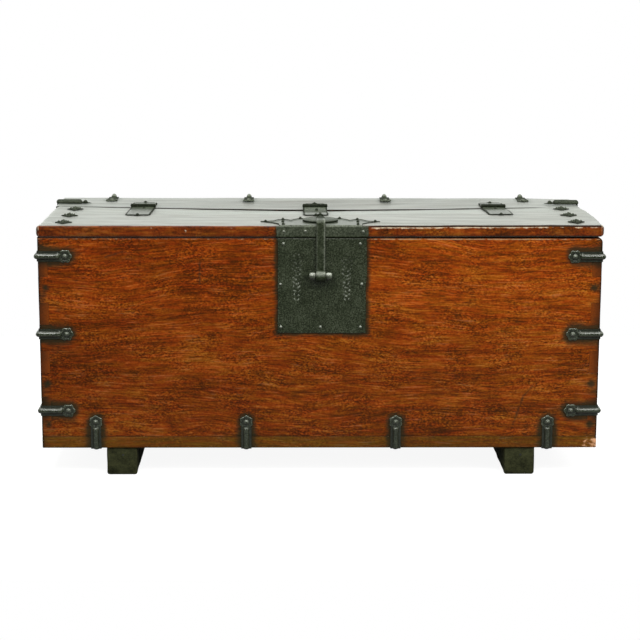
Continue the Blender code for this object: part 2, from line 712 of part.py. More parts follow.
def pivot_staple():
    """A bar bent to two legs, whose bridge carries the hasp's top eye."""
    foot_z = TOP_Z - PIVOT_LEG_BITE
    corner = PIVOT_BAR_RADIUS
    half = [(0.0, PIVOT_Z), (PIVOT_LEG_X - corner, PIVOT_Z)]
    half += bend(half[-1], (PIVOT_LEG_X, PIVOT_Z), (PIVOT_LEG_X, PIVOT_Z - corner), 3)
    half += [(PIVOT_LEG_X, foot_z)]
    path = [(-x, z) for x, z in reversed(half[1:])] + half
    curve = bpy.data.curves.new("pivot_path", "CURVE")
    curve.dimensions = "3D"
    curve.bevel_depth = PIVOT_BAR_RADIUS
    curve.bevel_resolution = 2
    curve.use_fill_caps = True
    spline = curve.splines.new("POLY")
    spline.points.add(len(path) - 1)
    for point, (x, z) in zip(spline.points, path):
        point.co = (x, PIVOT_Y, z, 1.0)
    holder = bpy.data.objects.new("pivot_path", curve)
    bpy.context.scene.collection.objects.link(holder)
    graph = bpy.context.evaluated_depsgraph_get()
    shape = bmesh.new()
    shape.from_mesh(bpy.data.meshes.new_from_object(holder.evaluated_get(graph)))
    bpy.data.objects.remove(holder)
    bmesh.ops.remove_doubles(shape, verts=shape.verts, dist=1e-6)
    return mesh_of(shape)


def hasp():
    """A bar with an eye at each end: it runs forward from the pivot, bends over the lid's edge and hangs down."""
    under = BOSS_TOP_Z + RUNNING_GAP
    inner = LID_FRONT_Y - SEAT_GAP - PLATE_THICK - RUNNING_GAP
    top, outer = under + HASP_THICK, inner - HASP_THICK
    inner_bend = HASP_BEND - HASP_THICK
    eye_top = LOCK_EYE_Z + HASP_EYE_RADIUS / 2
    neck = PIVOT_Y - HASP_TOP_EYE_RADIUS
    profile = [(PIVOT_Y, under), (PIVOT_Y, top), (outer + HASP_BEND, top)]
    profile += bend(profile[-1], (outer, top), (outer, top - HASP_BEND))
    profile += [(outer, eye_top), (inner, eye_top), (inner, under - inner_bend)]
    profile += bend(profile[-1], (inner, under), (inner + inner_bend, under), 2)
    side_on = standing((0, 1, 0), (0, 0, 1), Vector((-HASP_WIDTH / 2, 0, 0)))
    bar = prism(profile, HASP_WIDTH, side_on)
    narrow = [
        block(
            (min(side * HASP_NECK_WIDTH / 2, side * HASP_WIDTH), neck - RUNNING_GAP, under - HASP_THICK),
            (max(side * HASP_NECK_WIDTH / 2, side * HASP_WIDTH), PIVOT_Y + HASP_WIDTH, top + HASP_THICK),
        )
        for _, side in SIDES
    ]
    top_half, eye_half = HASP_NECK_WIDTH / 2, HASP_EYE_WIDTH / 2
    top_eye = rod(
        HASP_TOP_EYE_RADIUS, (-top_half, PIVOT_Y, PIVOT_Z), (top_half, PIVOT_Y, PIVOT_Z), ROUND_SIDES
    )
    lock_eye = rod(
        HASP_EYE_RADIUS,
        (-eye_half, LOCK_EYE_Y, LOCK_EYE_Z),
        (eye_half, LOCK_EYE_Y, LOCK_EYE_Z),
        ROUND_SIDES,
    )
    bores = [
        rod(HASP_TOP_EYE_BORE, (-HASP_WIDTH, PIVOT_Y, PIVOT_Z), (HASP_WIDTH, PIVOT_Y, PIVOT_Z), ROUND_SIDES),
        rod(
            LOCK_BAR_HOLE,
            (-HASP_EYE_WIDTH, LOCK_EYE_Y, LOCK_EYE_Z),
            (HASP_EYE_WIDTH, LOCK_EYE_Y, LOCK_EYE_Z),
            ROUND_SIDES,
        ),
    ]
    slim = worked(bar, cut=narrow)
    return worked(slim, joined=[top_eye, lock_eye], cut=bores)


def lid_nail():
    """A nail with a four-lobed plate and a domed head, from the lid's top down into its batten."""
    steps = 24
    outline = []
    for i in range(steps):
        angle = 2 * math.pi * i / steps
        reach = (1 + 0.16 * math.cos(4 * angle)) / 1.16
        outline.append(
            (LID_NAIL_WIDTH / 2 * reach * math.cos(angle), LID_NAIL_LENGTH / 2 * reach * math.sin(angle))
        )
    plate = prism(outline, LID_NAIL_PLATE, Matrix.Translation((0, 0, SEAT_GAP)))
    face = SEAT_GAP + LID_NAIL_PLATE
    dome = turned(
        [
            (0.0, face + LID_NAIL_DOME_RISE),
            (0.60 * LID_NAIL_DOME_RADIUS, face + 0.75 * LID_NAIL_DOME_RISE),
            (LID_NAIL_DOME_RADIUS, face - LID_NAIL_PLATE / 2),
            (0.0, face - LID_NAIL_PLATE / 2),
        ],
        SMALL_SIDES,
    )
    depth = TOP_THICK + SEAT_GAP + LID_NAIL_BITE
    shank = rod(LID_NAIL_SHANK_RADIUS, (0, 0, face - LID_NAIL_PLATE / 4), (0, 0, -depth))
    return worked(plate, joined=[dome, shank])


def add_lid_nails(lid, iron):
    nail = lid_nail()
    for name, side in SIDES:
        for row, place in zip(LID_NAIL_ROWS, lid_nail_places(side)):
            piece(f"lid_nail_{name}_{row}", nail, iron, lid, LID_AXIS, Matrix.Translation(place))


def main():
    clear_scene()
    wood = finish("reddish lacquered wood", (0.26, 0.062, 0.014), 0.38, 0.0)
    plain_wood = finish("plain inner wood", (0.30, 0.16, 0.075), 0.65, 0.0)
    foot_wood = finish("dark foot wood", (0.030, 0.032, 0.022), 0.60, 0.0)
    iron = finish("dark iron", (0.036, 0.045, 0.038), 0.45, 0.8)

    case = axis_empty("case", CASE_AXIS)
    lid = axis_empty("lid_axis", LID_AXIS)
    hasp_carrier = axis_empty("hasp_axis", HASP_AXIS, lid)

    piece("front_board", front_board(), wood, case, CASE_AXIS)
    piece("back_board", back_board(), wood, case, CASE_AXIS)
    piece("bottom_board", bottom_board(), wood, case, CASE_AXIS)
    piece("top_rear_board", top_rear_board(), wood, case, CASE_AXIS)
    for name, side in SIDES:
        piece(f"{name}_side_board", side_board(side), wood, case, CASE_AXIS)
        piece(f"{name}_foot", foot(side), foot_wood, case, CASE_AXIS)
        piece(f"{name}_lock_staple", lock_staple(side), iron, case, CASE_AXIS)
        piece(f"{name}_lid_batten", lid_batten(side), plain_wood, lid, LID_AXIS)
    piece("lock_plate", lock_plate(), iron, case, CASE_AXIS)
    add_straps(case, iron)
    add_hinges(case, lid, iron)

    piece("lid_board", lid_board(), wood, lid, LID_AXIS)
    piece("lid_lock_plate", lid_lock_plate(), iron, lid, LID_AXIS)
    piece("hasp_boss", hasp_boss(), iron, lid, LID_AXIS)
    piece("hasp_pivot_staple", pivot_staple(), iron, lid, LID_AXIS)
    add_lid_nails(lid, iron)
    piece("hasp", hasp(), iron, hasp_carrier, HASP_AXIS)


main()
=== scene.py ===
"""Looks of the iron-bound money chest: worn lacquered boards, forged iron fittings and a studio view.

Every surface is worked out with numpy, as a grid of two parameters or a profile carried along a path.
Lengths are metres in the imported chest's frame: +X right, +Y back, +Z up, with the floor at Z = 0.
"""

import json
import math

import bmesh
import bpy
import numpy as np
from mathutils import Matrix, Vector


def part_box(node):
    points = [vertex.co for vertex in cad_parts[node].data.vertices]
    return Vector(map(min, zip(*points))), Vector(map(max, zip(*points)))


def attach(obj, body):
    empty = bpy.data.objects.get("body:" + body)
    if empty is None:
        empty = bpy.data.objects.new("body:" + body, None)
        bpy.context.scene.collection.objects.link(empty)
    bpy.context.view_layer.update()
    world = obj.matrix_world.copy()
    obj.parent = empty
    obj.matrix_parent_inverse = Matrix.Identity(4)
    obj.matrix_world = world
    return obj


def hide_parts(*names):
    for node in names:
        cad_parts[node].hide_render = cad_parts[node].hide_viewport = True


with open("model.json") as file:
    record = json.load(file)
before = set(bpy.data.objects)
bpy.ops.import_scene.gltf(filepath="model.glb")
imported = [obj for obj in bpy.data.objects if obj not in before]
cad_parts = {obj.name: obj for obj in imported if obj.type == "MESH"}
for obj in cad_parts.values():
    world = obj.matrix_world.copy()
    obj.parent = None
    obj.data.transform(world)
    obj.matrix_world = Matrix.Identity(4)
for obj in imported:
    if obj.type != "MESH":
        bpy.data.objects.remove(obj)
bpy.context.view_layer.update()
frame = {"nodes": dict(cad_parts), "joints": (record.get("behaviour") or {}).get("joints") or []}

MM = 0.001


def box_of(node):
    """Lowest and highest corner of a CAD node as arrays."""
    low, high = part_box(node)
    return np.array(low), np.array(high)


# Planes of the case, read from the frame
(LEFT, FRONT, UNDER), (RIGHT, BACK, _) = box_of("bottom_board")
front_low, front_high = box_of("front_board")
WALL_FOOT, WALL_TOP = front_low[2], front_high[2]
WALL_THICK = front_high[1] - front_low[1]
lid_low, lid_high = box_of("lid_board")
rear_low, rear_high = box_of("top_rear_board")
lock_low, lock_high = box_of("lock_plate")
TOP = rear_high[2]
SEAM = (lid_high[1] + rear_low[1]) / 2
CENTRE_Y = (FRONT + BACK) / 2
axes = {joint["name"]: np.array(joint["pos_m"]) for joint in frame["joints"]}
HINGE_AXIS, PIVOT_AXIS = axes["lid_hinge"], axes["hasp_swing"]

# Turns, as matrices: a piece's own Z to the front, or to the back, its X to the back, its Z along X,
# and a strap's second leg on its first
TO_FRONT = np.array([[1, 0, 0], [0, 0, -1], [0, 1, 0]], float)
TO_BACK = TO_FRONT.T
QUARTER_TURN = np.array([[0, -1, 0], [1, 0, 0], [0, 0, 1]], float)
ALONG_X = np.array([[0, 0, 1], [0, 1, 0], [-1, 0, 0]], float)
SWAP_LEGS = np.array([[0, 1, 0], [1, 0, 0], [0, 0, -1]], float)

# Fits and iron thicknesses
SEAT = 0.3 * MM
RUNNING = 0.4 * MM
PLATE = 1.8 * MM
LEAF = 1.6 * MM
HASP_THICK = 4.2 * MM
LOCK_BORE = 4.2 * MM
SHARP_ANGLE = math.radians(32)

# Boards. Radii of a plank's edges run: upper back, upper front, lower front, lower back
BOARD_STEP = 4.0 * MM
FRONT_STEP = 3.2 * MM
ARRIS = 1.5 * MM
WALL_TOP_ROUND = 3.0 * MM
WALL_CORNER_ROUND = 8.0 * MM
END_SHADE_LINES = np.array([2.5, 4.0, 6.0]) * MM
PLANED_DEPTH = 0.22 * MM
PLANED_LENGTH = 0.09
NOTCH_GAP = 0.3 * MM
LID_ROUNDS = np.array([1.5, 3.6, 3.4, 1.0]) * MM
REAR_ROUNDS = np.array([2.0, 1.2, 0.6, 1.0]) * MM
BOTTOM_ROUNDS = np.array([1.2, 1.2, 2.0, 2.0]) * MM
FOOT_ROUNDS = np.array([1.5, 1.5, 4.5, 4.5]) * MM
LID_END_ROUND = 7.0 * MM
BOTTOM_END_ROUND = 1.2 * MM
FOOT_END_ROUND = 2.0 * MM
FOOT_STEP = 5.0 * MM
FOOT_NAIL_RADIUS = 2.1 * MM
FOOT_NAIL_DROP = 14.0 * MM

# How the old top boards have moved: sunk along the seam, the lid sprung at its right end and uneven there
REAR_SAG = 6.5 * MM
LID_SAG = 8.8 * MM
SAG_REACH = 0.125
LID_SPRING = 2.0 * MM
LID_END_SWELL = 2.6 * MM
LID_END_CORNER = 7.8 * MM
LID_END_WORN = 1.9 * MM
REAR_DROOP = 1.5 * MM

# Scratches on the front board, each from x, z to x, z, the pegs' spots, a chip in the lid's front edge,
# and the part of the bottom board's corner that worm has crumbled, as its lowest and highest corner
SCRATCHES = [
    (-0.380, 0.400, -0.346, 0.410),
    (0.348, 0.094, 0.366, 0.147),
    (0.366, 0.147, 0.383, 0.167),
    (-0.215, 0.390, -0.2145, 0.350),
]
SCRATCH_WIDTH = 2.2 * MM
PEG_INSET = 13 * MM
PEG_SPOT = 6 * MM
LID_CHIP = (-0.238, lid_low[1], lid_high[2] - 9 * MM)
CRUMBLED = (
    np.array([RIGHT - 24 * MM, FRONT, UNDER + 3 * MM]),
    np.array([RIGHT, FRONT + 6 * MM, UNDER + 16 * MM]),
)
CRUMBLED_DEPTH = 0.9 * MM

# Straps
STRAP_HALF_WIDTH = 9.2 * MM
STRAP_ROUND_HALF = 5.4 * MM
STRAP_RISE = 6.4 * MM
STRAP_FLANGE = 1.1 * MM
STRAP_UNDER_RISE = 2.9 * MM
STRAP_RIB_END = 40.0 * MM
STRAP_RIB_TAPER = 5.0 * MM
STRAP_HEAD_PLACE = 48.5 * MM
STRAP_HEAD_RADIUS = 12.4 * MM
STRAP_PETALS = 6
STRAP_NAIL_RADIUS = 4.4 * MM
STRAP_NAIL_RISE = 3.6 * MM
STRAP_UNDER_NAIL_RISE = 0.9 * MM
STRAP_NAIL_FOOT = 1.3 * MM
BEND_STEPS = 7
SPEAR_RISE = 7.6 * MM
SPEAR_SIDE_RISE = 2.4 * MM
SPEAR_FLANGE = 0.5 * MM

# Nails of the plates and hinges: radius, rise and wear; the plates' bright nails carry a painted highlight
PLATE_NAIL = (2.5 * MM, 2.0 * MM, 0.8)
FLANGE_NAIL = (2.4 * MM, 2.0 * MM, 0.8)
WING_NAIL = (2.8 * MM, 2.8 * MM, -0.7)
LEAF_NAIL = (3.1 * MM, 2.9 * MM, -0.8)

# The share of polish left on iron that looks up
LEAF_POLISH = 0.72
WING_POLISH = 0.72
BOSS_POLISH = 0.40

# Lock plates. The lists are in millimetres: X from the middle, with Z down from the wall's top or the lid's,
# and for the wings with Y back from the lid's front
LOCK_NAILS = [(70, 10), (-66, 10), (73, 82.5), (-71, 82.5), (71, 160), (-70.5, 160), (0, 160)]
FLANGE_NAILS = [(75, 9.5), (-65, 9.5), (-27, 9)]
WING_NAILS = [(98, 46), (67, 72), (67, 43), (66, 9), (35.5, 86)]
WING_STOPS = [0, 20, 36, 45, 53, 60, 68, 76, 84, 91, 99, 107]
WING_DEPTHS = [88, 90, 94, 82, 67, 76, 83, 75, 60, 56, 53, 50.4]
WING_ROOT = 74.0 * MM
WING_TIP = 33.0 * MM
WING_RIDGE_INSET = 19.0 * MM
WING_RIDGE_RISE = 0.7 * MM
FLANGE_BEND = 4.5 * MM
FLANGE_SHIFT = 2.6 * MM
LOCK_PLATE_INSET = 5.0 * MM
LOCK_PLATE_BENT = 0.060
LOCK_PLATE_BEND = 0.021
SPRIG_X = [-42.0 * MM, 46.0 * MM]
SPRIG_LOW, SPRIG_HIGH = 111.0 * MM, 30.0 * MM
SPRIG_LEAVES = 10
SPRIG_RING = 5.5 * MM
SPRIG_DOTS = 7
SPRIG_DEPTH = 0.55 * MM

# Hinges, hasp, lock staples and the lid's decorative nails
HINGE_INNER_KNUCKLE = 11.0 * MM
HASP_BEND = 3.9 * MM
HASP_NECK_HALF = 2.2 * MM
HASP_HALF = 7.7 * MM
STAPLE_SHANK = 3.8 * MM
LID_NAIL_SHANK = 2.0 * MM

# Part of the boards that the two lock plates stain, as its lowest and highest corner
PLATE_STAIN = (lock_low + [LOCK_PLATE_INSET, 0, 0], np.array([*lock_high[:2], lid_high[2]]))

# Colours: the lacquered wood and what marks it, the iron, the bare woods with their roughness, and the studio
WOOD_RAMP = [
    (0.0, (0.050, 0.012, 0.002)),
    (0.30, (0.115, 0.022, 0.002)),
    (0.52, (0.200, 0.036, 0.0022)),
    (0.75, (0.295, 0.062, 0.004)),
    (1.0, (0.410, 0.112, 0.014)),
]
GREENER, REDDER = (0.94, 1.08, 0.8, 1), (1.09, 0.87, 0.9, 1)
PORE = (0.022, 0.010, 0.002, 1)
BRIGHT_LINE = (0.40, 0.13, 0.05, 1)
END_DARK, END_LIGHT = (0.120, 0.026, 0.003, 1), (0.250, 0.054, 0.006, 1)
GRIME = (0.018, 0.019, 0.008, 1)
# Painted shade for the boards' gaps, joints and edge outlines
GAP_SHADE = (0.008, 0.005, 0.002, 1)
IRON_RAMP = [(0.36, (0.009, 0.013, 0.005)), (0.50, (0.024, 0.032, 0.015)), (0.63, (0.062, 0.074, 0.046))]
# Bright rubbed iron, also used for painted highlights; near-black iron with dirt, also used for painted shade
RUBBED_AND_HIGHLIT_IRON = (0.32, 0.34, 0.28, 1)
DIRTY_AND_SHADED_IRON = (0.005, 0.007, 0.003, 1)
PITTED_IRON = (0.008, 0.009, 0.004, 1)
BARE_WOOD = ((0.09, 0.040, 0.016), (0.24, 0.125, 0.055), 0.6)
FOOT_WOOD = ((0.004, 0.005, 0.002), (0.052, 0.055, 0.023), 0.5)
WHITE = (1, 1, 1)
ROOM_WHITE = (0.975, 1.0, 0.965, 1)
FLOOR_GREY = (0.24, 0.24, 0.235, 1)

# The floor's lowest and highest corner, just under the feet, and how white it shows where nothing shades it
FLOOR_LOW, FLOOR_HIGH = (-1.5, -0.75), (1.5, 1.05)
FLOOR_DROP = 0.4 * MM
FLOOR_GLOW = 0.92

# Lamps: place, aim, size, power and whether shiny faces show them
CHEST_FRONT = (0, -0.1, 0.25)
LAMPS = {
    "key_lamp": ((2.1, -1.9, 2.0), CHEST_FRONT, (2.0, 1.6), 51, False),
    "fill_lamp": ((-2.2, -2.2, 1.6), CHEST_FRONT, (1.6, 1.6), 15, False),
    "spark_lamp": ((-0.7, -2.0, 2.2), CHEST_FRONT, (0.5, 0.5), 20, True),
    "right_spark_lamp": ((0.9, -2.0, 2.2), CHEST_FRONT, (0.4, 0.4), 14, True),
    "top_lamp": ((0, 0.0, 2.8), (0, 0, 0.4), (2.6, 1.4), 80, True),
}

# Camera, fitted to the photograph's straight edges, from the middle of the case's lower front edge
CAMERA_PLACE = (-0.05488, -3.11422, 0.84478)
CAMERA_PITCH_YAW_ROLL = np.radians([11.0708, 0.9949, 0.2084])
CAMERA_LENS = 100.2


class Skin:
    """A surface: points, faces over them, and the wear and the polish at each point. Some of the wear is
    painted light and shade.
    """

    def __init__(self, points, faces, wear=0.0, polish=0.0):
        self.points = np.asarray(points, float).reshape(-1, 3)
        self.faces = faces
        self.wear = np.broadcast_to(np.ravel(wear), len(self.points)).astype(float)
        self.polish = np.broadcast_to(np.ravel(polish), len(self.points)).astype(float)

    def placed(self, place=(0, 0, 0), turn=None):
        """The same surface, turned by a 3 by 3 matrix and then moved."""
        points = self.points if turn is None else self.points @ turn.T
        return Skin(points + np.asarray(place, float), self.faces, self.wear, self.polish)

    def polished(self, share):
        """The same surface with a share of polish kept on the faces that look up."""
        return Skin(self.points, self.faces, self.wear, share)


def joined(skins):
    """Several surfaces as one, with each one's faces counted on from the last."""
    faces, start = [], 0
    for skin in skins:
        faces += [[i + start for i in face] for face in skin.faces]
        start += len(skin.points)
    keys = ("points", "wear", "polish")
    points, wear, polish = (np.concatenate([getattr(s, key) for s in skins]) for key in keys)
    return Skin(points, faces, wear, polish)


def rings(rows, wear=0.0, meets=False):
    """A closed surface from rows of points, each a ring. The last row meets the first, or both are capped."""
    index = np.arange(rows.shape[0] * rows.shape[1]).reshape(rows.shape[:2])
    walk = np.concatenate([index, index[:1]]) if meets else index
    after = np.roll(walk, -1, axis=1)
    quads = np.stack([walk[:-1], after[:-1], after[1:], walk[1:]], axis=-1).reshape(-1, 4)
    caps = [] if meets else [index[0, ::-1].tolist(), index[-1].tolist()]
    return Skin(rows, quads.tolist() + caps, np.broadcast_to(wear, rows.shape[:2]))


def middles(lines):
    """Half way between each grid line and the next."""
    return (lines[:-1] + lines[1:]) / 2


def slab(u, v, drop, thick, place, turn, keep=None):
    """A board from a grid of cells: kept cells get an outer and an inner face, and a wall where they end.

    The point at (u, v) lies drop below the outer plane, and its partner lies thick below it. The columns
    of turn are the directions of u, v and outwards. Returns the surface, and how many of its faces come
    before the inner ones.
    """
    rows, cols = len(u), len(v)
    keep = np.ones((rows - 1, cols - 1), bool) if keep is None else keep
    across, up = np.meshgrid(u, v, indexing="ij")
    outer = np.stack([across, up, -drop], axis=-1)
    inner = np.stack([across, up, np.full(across.shape, -thick)], axis=-1)
    index = np.arange(rows * cols).reshape(rows, cols)
    below = index + rows * cols
    corners = [np.s_[:-1, :-1], np.s_[1:, :-1], np.s_[1:, 1:], np.s_[:-1, 1:]]
    front = np.stack([index[c][keep] for c in corners], axis=-1)
    back = np.stack([below[c][keep] for c in reversed(corners)], axis=-1)
    padded = np.pad(keep, 1)
    ends = padded[:-1, 1:-1] != padded[1:, 1:-1]
    sides = padded[1:-1, :-1] != padded[1:-1, 1:]
    end_walls = [index[:, :-1][ends], index[:, 1:][ends], below[:, 1:][ends], below[:, :-1][ends]]
    side_walls = [index[:-1][sides], index[1:][sides], below[1:][sides], below[:-1][sides]]
    outside = np.concatenate([front, np.stack(end_walls, axis=-1), np.stack(side_walls, axis=-1)])
    used, faces = np.unique(np.concatenate([outside, back]), return_inverse=True)
    points = np.concatenate([outer.reshape(-1, 3), inner.reshape(-1, 3)])[used]
    return Skin(points, faces.reshape(-1, 4).tolist()).placed(place, turn), len(outside)


def bell(distance, width):
    """1 at no distance, falling smoothly to 0 beyond the width: the normal curve."""
    return np.exp(-((distance / width) ** 2))


def eased(share):
    """A share from 0 to 1 that starts and stops gently: three times its square, less twice its cube."""
    share = np.clip(share, 0, 1)
    return share**2 * (3 - 2 * share)


def bulge(share):
    """Height of a half circle of radius 1 at a share of its radius."""
    return np.sqrt(np.clip(1 - share**2, 0, 1))


def around(sides):
    """Angles at even steps round a circle."""
    return np.linspace(0, 2 * np.pi, sides, endpoint=False)


def rounded_drop(distance, radius):
    """How far a quarter-round edge has fallen away at a distance in from the edge."""
    inside = np.clip(radius - distance, 0, radius)
    return radius - np.sqrt(np.maximum(radius**2 - inside**2, 0))


def edge_lines(low, high, step, radius, extra=()):
    """Grid lines from low to high: close over each rounded edge, even between, and at the extra places."""
    curve = radius * (1 - np.cos(np.linspace(0, np.pi / 2, 6)))
    count = max(2, int(round((high - low - 2 * radius) / step)) + 1)
    even = np.linspace(low + radius, high - radius, count)
    lines = np.sort(np.concatenate([low + curve, even, high - curve, extra]))
    return lines[np.concatenate([[True], np.diff(lines) > 0.02 * MM])]


def waves(length, seed, u, v=0.0, count=9):
    """Irregular waves of about -1 to 1: the mean of sine waves near that length, in seeded directions."""
    draw = np.random.default_rng(seed)
    angle, phase = draw.uniform(0, 2 * np.pi, (2, count))
    stretch = draw.uniform(0.6, 1.7, count)
    total = np.zeros(np.broadcast(u, v).shape)
    for a, p, s in zip(angle, phase, stretch):
        total += np.sin((u * np.cos(a) + v * np.sin(a)) * 2 * np.pi / (length * s) + p)
    return total / math.sqrt(count / 2) / 1.6


def round_rectangle(y0, y1, z0, z1, radii, step):
    """A rounded rectangle as a ring of (y, z) points.

    The radii are those of its corners at y1 z1, y0 z1, y0 z0 and y1 z0.
    """
    corners = [(y1, z1, 1, 1), (y0, z1, -1, 1), (y0, z0, -1, -1), (y1, z0, 1, -1)]
    bow = np.linspace(0, np.pi / 2, 6)
    arcs = []
    for turn, ((y, z, side_y, side_z), radius) in enumerate(zip(corners, radii)):
        angle = bow + turn * np.pi / 2
        middle = np.array([y - radius * side_y, z - radius * side_z])
        arcs.append(middle + radius * np.stack([np.cos(angle), np.sin(angle)], axis=-1))
    ring = []
    for arc, after in zip(arcs, arcs[1:] + arcs[:1]):
        count = max(1, int(np.linalg.norm(after[0] - arc[-1]) / step))
        share = np.linspace(0, 1, count + 1)[1:-1, None]
        ring += [arc, arc[-1] * (1 - share) + after[0] * share]
    return np.concatenate(ring)


def plank(low, high, radii, end_radius, step):
    """A board along X with rounded edges: a rounded rectangle carried from end to end, drawn in at both."""
    stations = edge_lines(low[0], high[0], step, end_radius)
    inset = rounded_drop(np.minimum(stations - low[0], high[0] - stations), end_radius)
    ring = round_rectangle(low[1], high[1], low[2], high[2], radii, step)
    middle, half = (low[1:] + high[1:]) / 2, (high[1:] - low[1:]) / 2
    shrink = 1 - inset[:, None] / half[None, :]
    section = middle + (ring[None] - middle) * shrink[:, None, :]
    along = np.broadcast_to(stations[:, None, None], (*section.shape[:2], 1))
    return rings(np.concatenate([along, section], axis=-1))


def turned(profile, sides, wear=0.0):
    """A profile of (radius, height) points turned about Z, with its first and last ring capped."""
    radius, height = np.asarray(profile, float).T[:, :, None]
    angle = around(sides)
    rows = np.stack([radius * np.cos(angle), radius * np.sin(angle), height + 0 * angle], axis=-1)
    return rings(rows, wear)


def dome(radius, rise, wear, sides=14):
    """A nail's head: a low cap with a rounded rim, whose height follows a cosine of its radius."""
    share = np.linspace(1, 0.06, 7)
    cap = np.stack([radius * share, 0.25 * rise + 0.75 * rise * np.cos(share * np.pi / 2)], axis=-1)
    return turned(np.concatenate([[(radius * 0.97, -0.4 * MM)], cap]), sides, wear)


def hoop(outline, wear):
    """A ring about X: an outline of (radius, x) points carried round the axis, with its wear at each step."""
    radius, x = outline.T
    angle = around(len(wear))[:, None]
    rows = np.stack([x + 0 * angle, radius * np.cos(angle), radius * np.sin(angle)], axis=-1)
    return rings(rows, wear[:, None], meets=True)


def barrel(half_width, inner, outer, rounding, wear):
    """A ring about X whose outline is a rounded rectangle, from the bore to the outside."""
    return hoop(round_rectangle(inner, outer, -half_width, half_width, [rounding] * 4, 2 * MM), wear)


def hammered(points, seed, depth):
    """Points moved a little up and down, as hammer blows leave them."""
    x, y, z = points.T
    return points + depth * waves(11 * MM, seed, x, y + z)[:, None]


def finish(name, skin, materials, body="case", inner_from=None, marks=None, for_node=True):
    """The surface as a named piece that rides a body and stands for the CAD node of its name.

    Faces from inner_from on take the second material. Marks are point attributes, instead of wear and polish.
    """
    mesh = bpy.data.meshes.new(name)
    mesh.from_pydata(skin.points.tolist(), [], skin.faces)
    if inner_from is not None:
        inside = np.arange(len(skin.faces)) >= inner_from
        mesh.polygons.foreach_set("material_index", inside.astype(np.int32))
    for key, values in (marks or {"wear": skin.wear, "polish": skin.polish}).items():
        layer = mesh.attributes.new(key, "FLOAT", "POINT")
        layer.data.foreach_set("value", np.asarray(values, np.float32))
    shape = bmesh.new()
    shape.from_mesh(mesh)
    bmesh.ops.recalc_face_normals(shape, faces=shape.faces)
    shape.to_mesh(mesh)
    shape.free()
    mesh.shade_smooth()
    mesh.set_sharp_from_angle(angle=SHARP_ANGLE)
    for material in materials:
        mesh.materials.append(material)
    piece = bpy.data.objects.new(name, mesh)
    bpy.context.scene.collection.objects.link(piece)
    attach(piece, body)
    if for_node:
        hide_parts(name)


def strap_places():
    """Name, corner of wood and outward directions of the first and second face that each strap wraps.

    They come from the nodes' boxes: first the straps with petalled heads, then the two with a point.
    """
    places = []
    up = np.array([0, 0, 1])
    names = sorted(n for n in frame["nodes"] if "_strap_" in n)
    for name in [*names, "top_left_corner_strap", "top_right_corner_strap"]:
        x, y, z = sum(box_of(name)) / 2
        in_front = name.startswith("front")
        edge_x, side = (LEFT, np.array([-1, 0, 0])) if x < 0 else (RIGHT, np.array([1, 0, 0]))
        edge_y, end = (FRONT, np.array([0, -1, 0])) if in_front else (BACK, np.array([0, 1, 0]))
        if name.startswith("top_"):
            wrap = ((edge_x, y, TOP), up, side)
        elif "bottom" in name:
            wrap = ((x, edge_y, UNDER), end, -up)
        elif "top" in name:
            wrap = ((x, BACK, TOP), up, end)
        else:
            wrap = ((edge_x, edge_y, z), end, side)
        places.append((name, *map(np.array, wrap)))
    return places


STRAPS = strap_places()


def line_gap(points, start, end):
    """Distance from the straight line between two places."""
    line = np.subtract(end, start)
    share = np.clip((points - start) @ line / (line @ line), 0, 1)
    return np.linalg.norm(points - start - share[:, None] * line, axis=1)


def near_straps(points, reach):
    """1 on the straps' legs, falling smoothly to 0 over the reach beyond them."""
    legs = [(corner, corner - STRAP_HEAD_PLACE * face) for _, corner, *faces in STRAPS for face in faces]
    gap = np.min([line_gap(points, start, end) for start, end in legs], axis=0) - STRAP_HALF_WIDTH
    return bell(np.maximum(gap, 0), reach)


def near_box(points, low, high, reach):
    """1 inside a box, falling smoothly to 0 over the reach beyond it."""
    return bell(np.linalg.norm(np.maximum(np.maximum(low - points, points - high), 0), axis=1), reach)


def near_point(points, place, reach):
    """1 at a place, falling smoothly to 0 over the reach."""
    return bell(np.linalg.norm(points - np.asarray(place), axis=1), reach)


def stain(points):
    """Dark stain on the boards: round the iron, towards the case's ends and along its foot, and patchy."""
    x, y, z = points.T
    patch = 0.5 + 0.5 * waves(0.055, 5, x, y + z)
    iron = np.maximum(near_straps(points, 10 * MM), near_box(points, *PLATE_STAIN, 7 * MM))
    edge = np.minimum(RIGHT - np.abs(x), 0.2)
    corner = 0.40 * bell(edge, 13 * MM) + 0.22 * np.exp(-edge / (40 * MM))
    low_edge = 0.25 * np.exp(-np.abs(z - WALL_FOOT) / (6 * MM))
    return np.clip(iron * (0.8 + 0.2 * patch) + corner * (0.35 + 0.65 * patch) + low_edge, 0, 1)


def stain_on_end(points):
    """Stain on a side board: round its straps and towards its front and back edges."""
    _, y, z = points.T
    patch = 0.5 + 0.5 * waves(0.06, 15, y, z)
    edge = np.minimum(y - FRONT, BACK - y)
    corner = 0.4 * bell(edge, 16 * MM) + 0.2 * np.exp(-edge / (50 * MM))
    return np.clip(near_straps(points, 13 * MM) + corner * (0.4 + 0.6 * patch), 0, 1)


def finger_rows():
    """Lowest and highest point of each finger of a side board, read from the CAD board's front ends."""
    mesh = frame["nodes"]["left_side_board"].data
    points = np.empty(len(mesh.vertices) * 3)
    mesh.vertices.foreach_get("co", points)
    _, y, z = points.reshape(-1, 3).T
    return np.unique(z[y < FRONT + 0.01 * MM].round(5)).reshape(-1, 2)


FINGERS = finger_rows()


def in_finger(height, gap):
    """True where a height lies within a side board's finger, widened by a gap."""
    return np.any((height[:, None] > FINGERS[:, 0] - gap) & (height[:, None] < FINGERS[:, 1] + gap), axis=1)


def peg_marks(points, y):
    """Dark spots of the pegs in the long boards' fingers, a little in from each end."""
    heights = [*((FINGERS[:-1, 1] + FINGERS[1:, 0]) / 2 + 4 * MM), WALL_FOOT + 22 * MM]
    places = [(x, y, z) for x in (LEFT + PEG_INSET, RIGHT - PEG_INSET) for z in heights]
    return np.max([near_point(points, place, PEG_SPOT) for place in places], axis=0)


